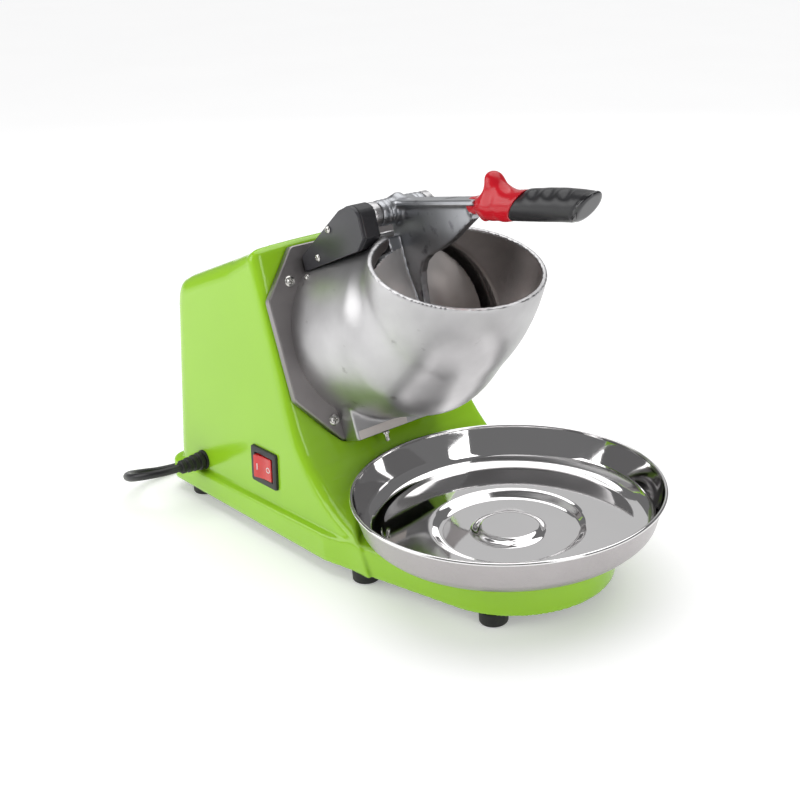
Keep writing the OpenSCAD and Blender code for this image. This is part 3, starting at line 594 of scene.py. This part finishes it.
def hull_outline(circles, steps=24):
    """Convex outline round some circles (x, y, radius) of the plan."""
    angles = [2 * math.pi * k / steps for k in range(steps)]
    dots = sorted({(round(x + r * math.cos(t), 4), round(y + r * math.sin(t), 4))
                   for x, y, r in circles for t in angles})
    line = []
    for run in (dots, dots[::-1]):
        half = []
        for q in run:
            while len(half) > 1 and ((half[-1][0] - half[-2][0]) * (q[1] - half[-2][1])
                                     - (half[-1][1] - half[-2][1]) * (q[0] - half[-2][0])) <= 0:
                half.pop()
            half.append(q)
        line += half[:-1]
    return line


SIDE = side_outline()
SKIRT_PLAN = hull_outline([(-212, -84, 16), (-212, 84, 16), (4, -94, 6), (4, 94, 6), (114, 0, 77)], 72)


def housing_outer(p):
    """Upper housing and skirt, without the bottom face."""
    x, y, z = p.T
    side_y = np.abs(y)
    # upper housing: side view by leaning sides, with a crowned roof and rounder edges at the back
    crown = 2.2 * (side_y / 84) ** 3 * np.clip((z - 150) / 30, 0, 1)
    near_face = np.clip((head_of(p)[:, 0] + 50) / 35, 0, 1)
    sides = side_y - np.interp(z, [0, 30, 160, 250], [94, 94, 87, 83])
    upper = smax(sd_polygon(x, z + crown, SIDE), sides, 17 - 7 * near_face)
    back = REAR_X + 0.077 * np.clip(z - 40, 0, 200) - x
    upper = smax(upper, 0.7071 * (back + sides) + 6.5, 10)
    # round hollow in the flare, in which the tray stands
    from_tray = np.hypot(x - TRAY_X, y)
    hollow = 0.97 * (114 + 0.25 * (z - DECK_Z) - from_tray)
    upper = smax(upper, hollow, 3)
    top = z - np.interp(x, [REAR_X, 30], [29, DECK_Z])
    skirt = smax(sd_polygon(x, y, SKIRT_PLAN), top, 4)
    boss = smax(from_tray - 50, z - 37.3, 1.5)
    return np.minimum(smin(upper, skirt, 2.5), boss)


def housing_field(p):
    """Hollow shell, open below, with the flange's seat, the window behind it and the switch's hole."""
    a, y, u = head_of(p).T
    outer = housing_outer(p)
    solid = smax(outer, SKIRT_Z - p[:, 2], 1.5)
    solid = np.maximum(solid, -(outer + WALL))
    seat = np.maximum(sd_polygon(y, u, FLANGE) - (FLANGE_ROUND + 0.6), FACE_A - a)
    solid = smax(solid, -seat, 1.2)
    window = np.maximum(np.hypot(y, u) - 50, -30 - a)
    solid = np.maximum(solid, -window)
    in_switch = (p - SWITCH_C) @ SWITCH[0]
    return np.maximum(solid, -sd_box(in_switch, (0, 8, 0), (14, 20, 12.5)))


def housing():
    cell = 2.1
    points, faces = skin(housing_field, (-231, -103, 6), (196, 103, 250), cell)
    piece("housing", points, faces, ROW, "machine", "lime_plastic", [LIME], ["housing_shell"])


# ------------------------------------------------------------------ cast head
DRUM_R, BORE_R, SEAL_R = 73, 65.5, 14.05
EAR_Y, EAR_HALF = 25.5, 3.5                  # middle and half thickness of the ears
LID_Y = -46.6                                # outer face of the switch box's lid
MOUTH_TURN = turn_y(MOUTH_TILT)
BOWL_OUT = np.array([60.6, 71.3, 108.0])     # half axes of the bowl
BOWL_IN = np.array([56.8, 67.5, 104.5])
BOWL_MIDDLE = np.array([58.9, 69.5, 106.4])
# side view of the switch box, with a round end about the hinge
BOX_ROUND = [(HINGE[0] + 10.5 * math.cos(math.radians(t)), HINGE[2] + 10.5 * math.sin(math.radians(t)))
             for t in range(0, 116, 16)]
BOX_PLAN = [(1, 57), (76, 63.5), (86, 71), *BOX_ROUND, (65, 96), (1, 69)]


def ellipsoid(q, radii):
    """Near distance to an ellipsoid about the origin."""
    k0 = np.linalg.norm(q / radii, axis=1)
    k1 = np.linalg.norm(q / np.square(radii), axis=1)
    return k0 * (k0 - 1) / np.maximum(k1, 1e-9)


def drum(p, r):
    """Round bar along the drum's axis, with a round end."""
    past = 1.25 * np.maximum(p[:, 0] - 70, 0)
    return np.sqrt(past ** 2 + p[:, 1] ** 2 + p[:, 2] ** 2) - r


def hopper_field(p):
    """Drum, bowl, hinge ears and outlet lip, with the hollow inside and the openings."""
    a, y, u = p.T
    from_axis = np.hypot(y, u)
    from_pin = np.hypot(a - HINGE[0], u - HINGE[2])
    m = (p - MOUTH_C) @ MOUTH_TURN
    # the bowl leaves room for the switch box
    notch = np.maximum(np.maximum(sd_polygon(a, u, BOX_PLAN), -47.3 - y), y + 29.2)
    bowl = np.maximum(ellipsoid(m, BOWL_OUT), -notch)
    outer = smin(np.maximum(drum(p, DRUM_R), -1 - a), bowl, 12)
    inner = smin(np.maximum(drum(p, BORE_R), 4 - a), ellipsoid(m, BOWL_IN), 3)
    bead = np.hypot(from_axis - 66.2, a - 79) - 1.9
    solid = smax(outer, -smax(inner, -bead, 1.5), 1.5)
    solid = smax(solid, m[:, 2], 1.4)
    ears = np.minimum(*[sd_box(p, (66, side * EAR_Y, 68), (10, EAR_HALF, 18), 1.2) for side in (1, -1)])
    eye = np.maximum(from_pin - 9.6, np.abs(np.abs(y) - EAR_Y) - EAR_HALF)
    ears = smin(ears, eye, 2)
    ears = np.maximum(ears, -np.maximum(from_axis - 66, 5 - a))
    solid = smin(solid, ears, 5)
    lip = np.maximum(sd_box(p, (8.5, 0, -66), (9.5, 49, 15), 1.5), 66 - from_axis)
    solid = smin(solid, lip, 3)
    neck_slot = sd_box(p, (85, 0, 85), (30, 21.9, 40), 3)
    solid = smax(solid, -neck_slot, 2)
    outlet = sd_box(p, (9, 0, -67.5), (6, 35, 22.5), 1)
    solid = np.maximum(solid, -outlet)
    solid = np.maximum(solid, 7.08 - from_pin)
    return np.maximum(solid, -np.maximum(from_axis - SEAL_R, a - 10))


def flange_plate():
    """Machined flange plate with a fine bright chamfer, round the seal's bore."""
    outline = []
    for a, b, c in zip(FLANGE[-1:] + FLANGE[:-1], FLANGE, FLANGE[1:] + FLANGE[:1]):
        t0 = math.atan2(b[1] - a[1], b[0] - a[0]) - math.pi / 2
        t1 = math.atan2(c[1] - b[1], c[0] - b[0]) - math.pi / 2
        turn = (t1 - t0 + math.pi) % (2 * math.pi) - math.pi
        outline += [(b[0] + math.cos(t0 + turn * i / 5), b[1] + math.sin(t0 + turn * i / 5), b)
                    for i in range(6)]

    def ring(a, grow):
        r = FLANGE_ROUND + grow
        return [(a, b[0] + (x - b[0]) * r, b[1] + (y - b[1]) * r) for x, y, b in outline]

    hole = [(SEAL_R * y / math.hypot(y, z), SEAL_R * z / math.hypot(y, z)) for _, y, z in ring(0, 0)]
    rings = [[(-6, y, z) for y, z in hole], ring(-6, 0), ring(-0.9, 0), ring(0, -0.9),
             [(0, y, z) for y, z in hole]]
    return loft(rings, close=False)


def hopper():
    """Cast head: the rough casting, its inside rougher and painted darker as shade, and the machined flange.
    """
    cell = 1.35
    points, faces = skin(hopper_field, (-3, -76, -88), (184, 76, 102), cell)
    centre = points[faces].mean(1)
    m = (centre - MOUTH_C) @ MOUTH_TURN
    # faces inside the bowl and the bore get the darker inside material: painted shade, with a rougher finish
    inside = (ellipsoid(m, BOWL_MIDDLE) < 0) | (drum(centre, 69) < 0)
    inside &= m[:, 2] < -1.2
    mats = np.where(inside, 1, 0)
    plate, plate_faces = flange_plate()
    all_points, all_faces = joined([(points, faces), (plate, plate_faces)])
    mats = np.concatenate([mats, np.full(len(plate_faces), 2)])
    piece("cast_head", all_points, all_faces, HEAD, "machine", "cast_aluminium",
          [CAST, CAST_SHADED_INSIDE, MACHINED], ["hopper_drum"], face_mats=mats, sharp=32)


# ------------------------------------------------------------------ small round parts
def tray():
    """Spun steel tray: mirror inside, brushed outside, rolled rim."""
    middle_z, wall_z = 42.5, 50              # height of the middle, and the start of the steep wall
    knots = [(23, middle_z), (28, 38.5), (53, 38.5), (60, 43.5), (98, 44.5), (105, 46.5), (111, 52),
             (117, 73)]
    before = [(0, middle_z)] + knots[:-1]
    after = knots[1:] + [(117.6, 75)]
    soft = [q for a, b, c in zip(before, knots, after) for q in soft_corner(a, b, c, 2.6, 4)]

    def line(d):
        """Section line, moved out by a thickness."""
        moved = [(r + d * (0.97 if z > wall_z else 0.2), z - d * (0.1 if z > wall_z else 1)) for r, z in soft]
        return [(0, middle_z - d)] + moved

    inner, outer = line(0.0), line(1.0)
    roll_r = 1.45
    roll = [(118.5 + roll_r * math.cos(math.radians(t)), 74.4 + roll_r * math.sin(math.radians(t)))
            for t in range(160, -70, -23)]
    profile = inner + roll + outer[::-1]
    turns = 192
    points, faces = revolve(profile, turns)
    points = points + np.array([TRAY_X, 0, 0])
    height = np.array([(f[0] // turns + f[1] // turns) / 2 for f in faces])
    mats = np.where(height < len(inner) + len(roll) - 3, 0, 1)
    faces = [tuple(reversed(f)) for f in faces]
    piece("tray", points, faces, ROW, "tray_body", "polished_steel", [MIRROR, BRUSHED], ["tray"],
          face_mats=mats, sharp=50)


def feet():
    """Six moulded feet with a screw recess below and a spigot above."""
    profile = [(4.4, 4), (4.4, 0), (9.2, 0), (10.2, 0.4), (10.8, 1.4), (11, 9.0), (10.7, 10.4), (9.8, 10.9),
               (5, 10.9), (5, 15.8), (0, 15.8)]
    points, faces = revolve(profile, 40)
    parts = [(points + np.array([x, side * y, 0]), faces)
             for x, y in ((-194, 84), (33, 82), (148, 56)) for side in (-1, 1)]
    piece("feet", *joined(parts), ROW, "machine", "black_rubber", [RUBBER], ["feet"], sharp=40)


def screw_head(radius, height, shank_r, length):
    """Pan head along +z with a cross recess cut in, on a plain shank."""
    def field(p):
        x, y, z = p.T
        sink = radius * 1.15                 # of the dome's centre
        dome = np.hypot(np.hypot(x, y), z + sink) - (height + sink)
        head = smax(smax(np.hypot(x, y) - radius, dome, 0.8), -z, 0.3)
        arm = radius * 0.56 - 0.5 * np.maximum(height - z, 0)
        half_slot = 0.13 * radius
        slot = np.minimum(np.maximum(np.abs(x) - arm, np.abs(y) - half_slot),
                          np.maximum(np.abs(y) - arm, np.abs(x) - half_slot))
        return smax(head, -np.maximum(slot, height * 0.25 - z), 0.25)

    cell = radius / 14
    edge = radius + 2 * cell
    head = skin(field, (-edge, -edge, -2 * cell), (edge, edge, height + 2 * cell), cell)
    shank = revolve([(shank_r, -0.05), (shank_r, -length + 1), (0.4, -length)], 16)
    return joined([(head[0].tolist(), head[1].tolist()), (shank[0].tolist(), shank[1])])


def placed(part, centre, along, twist=0.0):
    """The part turned so that its z runs along a direction of the local frame."""
    z = np.asarray(along, float)
    x = np.array([0, 0, 1.0]) if abs(z[2]) < 0.9 else np.array([1.0, 0, 0])
    x = x - z * (x @ z)
    x /= np.linalg.norm(x)
    y = np.cross(z, x)
    c, s = math.cos(math.radians(twist)), math.sin(math.radians(twist))
    turn = np.stack([x * c + y * s, y * c - x * s, z], 1)
    return np.asarray(part[0], float) @ turn.T + np.asarray(centre, float), part[1]


def head_fixings():
    """Screws, stud and blank label on the cast head and the switch box."""
    pan = screw_head(4.6, 2.6, 1.95, 20)
    spots = [(y * side, u) for y, u in ((62, 53), (55, -61)) for side in (-1, 1)]
    parts = [placed(pan, (0.1, y, u), (1, 0, 0), 17 + 31 * k) for k, (y, u) in enumerate(spots)]
    piece("flange_screws", *joined(parts), HEAD, "machine", "bright_screw", [ZINC], ["flange_screws"],
          sharp=40)
    small = screw_head(3.0, 1.8, 1.45, 8)
    parts = [placed(small, (a, LID_Y - 0.05, u), (0, -1, 0), 20 + 40 * k)
             for k, (a, u) in enumerate(((46, 84.3), (24, 65.5)))]
    piece("box_screws", *joined(parts), HEAD, "machine", "bright_screw", [ZINC], ["switch_box_screws"],
          sharp=40)
    out = np.array([0, -math.sin(math.radians(43.5)), math.cos(math.radians(43.5))])
    earth = placed(screw_head(2.6, 1.9, 1.2, 4), np.array([8, 0, 0]) + DRUM_R * out, out, 10)
    piece("earth_screw", *earth, HEAD, "machine", "bright_screw", [ZINC], ["earth_screw"], sharp=40)
    nut = revolve([(0, 0), (2.5, 0), (3.0, -0.4), (3.0, -1.7), (2.6, -2.0), (1.9, -2.0), (1.9, -7.4),
                   (1.5, -8), (0, -8)], 36)
    piece("outlet_stud", np.array(nut[0]) + np.array([16.4, -21, -81]), [tuple(reversed(f)) for f in nut[1]],
          HEAD, "machine", "bright_screw", [ZINC], ["outlet_stud"], sharp=35)
    lip_front = 18.0
    plate = [(lip_front, y, u) for y, u in ((-47, -80.3), (1, -80.3), (1, -73.3), (-47, -73.3))]
    front = [(lip_front + 0.45, y, u) for _, y, u in plate]
    piece("blank_label", *loft([plate, front]), HEAD, "machine", "white_label", [LABEL], ["outlet_label"],
          sharp=30)


# ------------------------------------------------------------------ switch box beside the hinge
def box_field(p):
    """Box on the drum's side, hollow towards the lid, with a hole round the hinge pin."""
    low, high, wall = -44, -29.5, 2.4
    a, y, u = p.T
    plan = sd_polygon(a, u, BOX_PLAN)
    solid = smax(plan, np.abs(y - (low + high) / 2) - (high - low) / 2, 1.6)
    solid = np.maximum(solid, -np.maximum(plan + wall, y - (high - 3)))
    solid = smax(solid, DRUM_R + 0.2 - np.hypot(y, u), 0.8)
    return np.maximum(solid, 8.7 - np.hypot(a - HINGE[0], u - HINGE[2]))


def switch_box():
    """Black box beside the hinge and its lid, shaped to the drum below."""
    cell = 0.9
    points, faces = skin(box_field, (-2, -46, 54), (90, -27, 100), cell)
    piece("hinge_box", points, faces, HEAD, "machine", "black_plastic", [BLACK], ["switch_box"], sharp=35)
    inset = corner_rounded(BOX_PLAN, 1.5, 3)
    centre = np.mean(np.array(inset), 0)

    def ring(y, k):
        return [(centre[0] + (a - centre[0]) * k, y, centre[1] + (u - centre[1]) * k) for a, u in inset]

    def clear(ring_points):
        """The ring, lifted off the drum where it would cut in."""
        return [(a, y, max(u, math.sqrt((DRUM_R + 0.25) ** 2 - y ** 2))) for a, y, u in ring_points]

    rings = [clear(ring(y, k)) for y, k in ((-44.1, 0.995), (-45.9, 0.995), (LID_Y, 0.975))]
    piece("box_lid", *loft(rings), HEAD, "machine", "black_plastic", [BLACK_LID], ["switch_box_lid"],
          sharp=30)


# ------------------------------------------------------------------ lever
PLATE_R = 59                                 # radius of the pusher plate
CUT = math.radians(40)                       # lean of the joint between guard and grip
# side view of the web, in the head frame
WEB = [(69, 90), (67, 70), (66, 50), (66, -28), (74, -28), (82, -20), (83, 12), (85, 27), (88, 37),
       (93.5, 44), (103, 48.5), (117, 51), (132, 55), (150, 62.5), (161, 67), (159, 77), (76, 91)]


def to_head(p):
    """Lever points in mm as head points."""
    return p @ turn_y(LEVER_DROP).T + HINGE


def lever_field(p):
    """Ribbed hinge barrel, arm with its web, and the pusher plate with a shallow dome."""
    x, y, z = p.T
    h = to_head(p)
    a, u = h[:, 0], h[:, 2]
    from_axis = np.hypot(y, u)
    from_pin = np.hypot(x, z)
    rings = 0.35 * np.cos(y * 2 * math.pi / 3.6)
    barrel = smax(from_pin - 9.65 - rings * (np.abs(y) < 19), np.abs(y) - 21.5, 1.0)
    arm = sd_box(p, (47, 0, 5.7), (49, 10, 2.0), 1.2)
    tang = sd_box(p, (135, 0, 2), (50.5, 3.9, 4.9), 1.0)
    web = smax(sd_polygon(a, u, WEB), np.abs(y) - 3.4, 1.2)
    knob = sd_capsule(p, (5, -3, 8), (17, -3, 6), 5.2, 2.0)
    neck = np.maximum(np.abs(y) - 15, np.abs(u - 49) - 19)
    plate = np.maximum(np.abs(a - 70) - 4, np.minimum(from_axis - PLATE_R, neck))
    dome = np.linalg.norm(h - np.array([-76, 0, 0]), axis=1) - 155
    dome = np.maximum(dome, np.maximum(73 - a, from_axis - PLATE_R))
    disc = smax(smin(plate, dome, 1.5), np.hypot(y, u - 32) - 69.8, 1.2)
    solid = smin(smin(smin(arm, tang, 2), web, 4), disc, 1.5)
    solid = smin(smin(solid, barrel, 4), knob, 5)
    # clearance for the ears beside the barrel
    keep_out = np.maximum(np.maximum(21.7 - np.abs(y), np.abs(u - 80) - 23), np.abs(a - 53) - 23)
    return np.maximum(np.maximum(solid, -keep_out), 5.06 - from_pin)


def lever_arm():
    """Lever casting; the plate's front face is a turned finish, brighter than the rest, and its colour is
    raised further with painted light for the bowl's inside.
    """
    cell = 1.3
    points, faces = skin(lever_field, (-26, -59, -134), (190, 59, 18), cell)
    a, y, u = to_head(points[faces].mean(1)).T
    # front face of the plate: turned finish, painted lighter to make up for the light it lacks inside the
    # bowl
    front = (a > 73.6) & (a < 79.6) & (np.hypot(y, u) < PLATE_R - 0.4) & (np.abs(y) > 5)
    piece("lever", points, faces, LEVER, "lever", "cast_aluminium", [LEVER_METAL, PLATE_TURNED_AND_LIT], ["lever_arm"],
          face_mats=np.where(front, 1, 0), sharp=38)


def guard_field(p):
    """Red guard: a collar that widens to the grip, a hump above and a short lip below."""
    x, z = p[:, 0], p[:, 2]
    sleeve = sd_capsule(p, (87, 0, 2.6), (118, 0, 2.0), 6.4, 10.6)
    sleeve = smin(sleeve, sd_capsule(p, (118, 0, 2.0), (146, 0, 2.4), 10.6, 10.9), 2)
    hump = sd_capsule(p, (105.5, 0, 4), (109.5, 0, 19), 11.4, 7.2)
    hump = smin(hump, sd_capsule(p, (110, 0, 17.5), (124, 0, 4.5), 6.6, 8.0), 4)
    lip = sd_capsule(p, (100, 0, 0), (96.5, 0, -5.6), 8.0, 3.0)
    solid = smin(smin(sleeve, hump, 5), lip, 4)
    pinch = np.hypot(x - 98, z - 19) - 7.0
    solid = smax(solid, -pinch, 5)
    cut = (x - 131.4) * math.cos(CUT) - z * math.sin(CUT)
    return smax(solid, cut, 0.6)


def behind_groove(x, z):
    """Distance past the oblique groove that parts the glossy cap from the grip."""
    return x - 193.5 - 0.9 * (z - 2)


def grip_field(p):
    """Round grip with finger scallops, a groove before the cap and an oblique end."""
    x, y, z = p.T
    scallop = 14.5
    centre = 2.2 + 0.5 * np.sin((x - 120) / 88 * math.pi) - 1.4 * np.clip((x - 165) / 35, 0, 1) ** 2
    wide = 10.6 + 0.8 * np.sin(np.clip((x - 126) / 80, 0, 1) * math.pi)
    near = np.exp(-((np.arctan2(z - centre, -y) - 0.95) / 0.5) ** 2)
    wave = 0.5 - 0.5 * np.cos((x - 133) * 2 * math.pi / scallop)
    lively = np.clip((x - 130) / 5, 0, 1) * np.clip((191 - x) / 4, 0, 1)
    bar = np.hypot(y, z - centre) - wide + 1.5 * wave * lively * near
    groove = 0.8 * np.exp(-(behind_groove(x, z) / 0.9) ** 2)
    start = (132.0 - x) * math.cos(CUT) + z * math.sin(CUT)
    end = ((x - 207) + (11 - z) * 0.98) * 0.714
    tip = np.abs(x - 165) - 41.9
    return smax(smax(smax(bar + groove, start, 0.8), end, 3.5), tip, 2)


def handle():
    """Red guard, and the black grip with its glossy cap."""
    cell = 0.85
    points, faces = skin(guard_field, (78, -14, -11), (144, 14, 29), cell)
    piece("hand_guard", points, faces, LEVER, "lever", "red_plastic", [RED], ["hand_guard"], sharp=42)
    points, faces = skin(grip_field, (116, -14, -12), (210, 14, 17), cell)
    centre = points[faces].mean(1)
    cap = behind_groove(centre[:, 0], centre[:, 2]) > 0
    piece("hand_grip", points, faces, LEVER, "lever", "black_plastic", [GRIP, GRIP_CAP], ["hand_grip"],
          face_mats=np.where(cap, 1, 0), sharp=42)


# ------------------------------------------------------------------ rocker switch
ROCKER_TOP = [(0, 6.65), (3.4, 6.85), (7, 7.45), (10.5, 7.9)]     # shallow V of the button's face


def rocker_frame():
    """Snap-in frame with a bevelled collar round the button's opening."""
    outer = rounded(17.5, 15.5, 2.2)
    mouth = rounded(12.2, 10.2, 0.8)
    body = rounded(13.8, 12.3, 1.0)
    stations = [(mouth, 1, 16), (mouth, 1, -1.5), (mouth, 1.03, -2.3), (outer, 0.93, -2.6),
                (outer, 0.985, -2.2), (outer, 1, -1.2), (outer, 1, -0.05), (body, 1, -0.05), (body, 1, 16)]
    rings = [[(x * k, y, z * k) for x, z in line] for line, k, y in stations]
    points, faces = loft(rings, close=False)
    n = len(mouth)
    last = (len(rings) - 1) * n
    faces += [(last + k, last + (k + 1) % n, (k + 1) % n, k) for k in range(n)]
    piece("rocker_frame", points, faces, SWITCH, "machine", "black_plastic", [BLACK], ["rocker_bezel"],
          sharp=35)


def rocker_button():
    """Red rocker, leaning over, with a plain bar and a plain ring on its face."""
    lean, pivot = math.radians(8), np.array([0, 3.4, 0])
    place = (SWITCH[0] @ np.array(Matrix.Rotation(lean, 3, "Z")), SWITCH[0] @ pivot + SWITCH_C)
    low = [(-10.4, -3), (-8.5, 3), (8.5, 3), (10.4, -3)]
    high = [(x, -y) for x, y in ROCKER_TOP[::-1]] + [(-x, -y) for x, y in ROCKER_TOP[1:]]
    outline = corner_rounded(low + high, 0.7, 3)
    rings = [[(x * k, y * (k if y < 0 else 1), z) for x, y in outline]
             for z, k in ((-9.6, 0.96), (-9.2, 0.99), (-8.6, 1), (8.6, 1), (9.2, 0.99), (9.6, 0.96))]
    piece("rocker", *loft([ring[::-1] for ring in rings]), place, "rocker", "red_plastic", [RED_LENS],
          ["rocker_button"], sharp=35)

    def on_top(x, lift):
        return -np.interp(abs(x), *zip(*ROCKER_TOP)) - lift

    sunk, proud = -0.3, 0.14                 # the marks' foot and top, from the button's face
    bar = [[(x, on_top(x, lift), z) for x, z in ((-6.9, -2.8), (-6.0, -2.8), (-6.0, 2.8), (-6.9, 2.8))]
           for lift in (sunk, proud)]
    turns = np.linspace(0, 2 * math.pi, 28, endpoint=False)
    loop = []
    for r, lift in ((2.5, sunk), (2.5, proud), (1.75, proud), (1.75, sunk)):
        spots = [(6.4 + r * math.cos(t), r * math.sin(t)) for t in turns]
        loop.append([(x, on_top(x, lift), z) for x, z in spots])
    parts = [loft(bar), loft(loop, close=False)]
    piece("rocker_marks", *joined(parts), place, "rocker", "white_label", [PRINT], sharp=40)


housing()
hopper()
tray()
feet()
head_fixings()
switch_box()
lever_arm()
handle()
rocker_frame()
rocker_button()


# ------------------------------------------------------------------ floor and light
def floor():
    """Wide white floor; a faint light of its own keeps it as bright as the background."""
    half = 28.0
    mesh = bpy.data.meshes.new("floor")
    corners = [(-half, -half, 0), (half, -half, 0), (half, half, 0), (-half, half, 0)]
    mesh.from_pydata(corners, [], [(0, 1, 2, 3)])
    obj = bpy.data.objects.new("floor", mesh)
    bpy.context.scene.collection.objects.link(obj)
    paper = material("studio_floor", (0.9, 0.9, 0.9), rough=0.6, vary=0.01, grain=60, cloud=3, bump=0.0,
                     spec=0.2)
    shader = paper.node_tree.nodes["Principled BSDF"]
    shader.inputs["Emission Color"].default_value = (1, 1, 1, 1)
    shader.inputs["Emission Strength"].default_value = 0.3
    mesh.materials.append(paper)


def sky_light(power, spread):
    """Broad soft light from above."""
    data = bpy.data.lights.new("overhead", "SUN")
    data.energy = power
    data.angle = math.radians(spread)
    obj = bpy.data.objects.new("overhead", data)
    obj.rotation_euler = (math.radians(-14), math.radians(-10), 0)
    bpy.context.scene.collection.objects.link(obj)


def area_light(name, place, aim, size, power):
    """Soft rectangular lamp at a place, turned to its aim."""
    data = bpy.data.lights.new(name, "AREA")
    data.shape = "RECTANGLE"
    data.size, data.size_y = size
    data.energy = power
    obj = bpy.data.objects.new(name, data)
    place, aim = Vector(place), Vector(aim)
    turn = (aim - place).to_track_quat("-Z", "Y").to_matrix().to_4x4()
    obj.matrix_world = Matrix.Translation(place) @ turn
    bpy.context.scene.collection.objects.link(obj)


def world():
    """Dim grey surroundings for the light, and plain white where the camera sees them."""
    w = bpy.data.worlds.new("studio")
    bpy.context.scene.world = w
    w.use_nodes = True
    nodes, links = w.node_tree.nodes, w.node_tree.links
    plain = nodes["Background"]
    plain.inputs["Color"].default_value = (0.62, 0.62, 0.63, 1)
    plain.inputs["Strength"].default_value = 0.28
    seen = nodes.new("ShaderNodeBackground")
    seen.inputs["Color"].default_value = (1, 1, 1, 1)
    seen.inputs["Strength"].default_value = 1.1
    path = nodes.new("ShaderNodeLightPath")
    mix = nodes.new("ShaderNodeMixShader")
    links.new(path.outputs["Is Camera Ray"], mix.inputs["Fac"])
    links.new(plain.outputs["Background"], mix.inputs[1])
    links.new(seen.outputs["Background"], mix.inputs[2])
    links.new(mix.outputs["Shader"], nodes["World Output"].inputs["Surface"])


floor()
sky_light(1.9, 70)
area_light("key", (-0.9, -1.35, 0.85), (-0.02, 0.0, 0.13), (1.5, 1.1), 13)
area_light("front", (1.5, -0.1, 0.8), (0.05, 0.0, 0.12), (0.5, 1.1), 5)
area_light("back", (-1.25, 1.3, 0.85), (0.0, 0.1, 0.1), (1.5, 0.9), 1.8)
world()
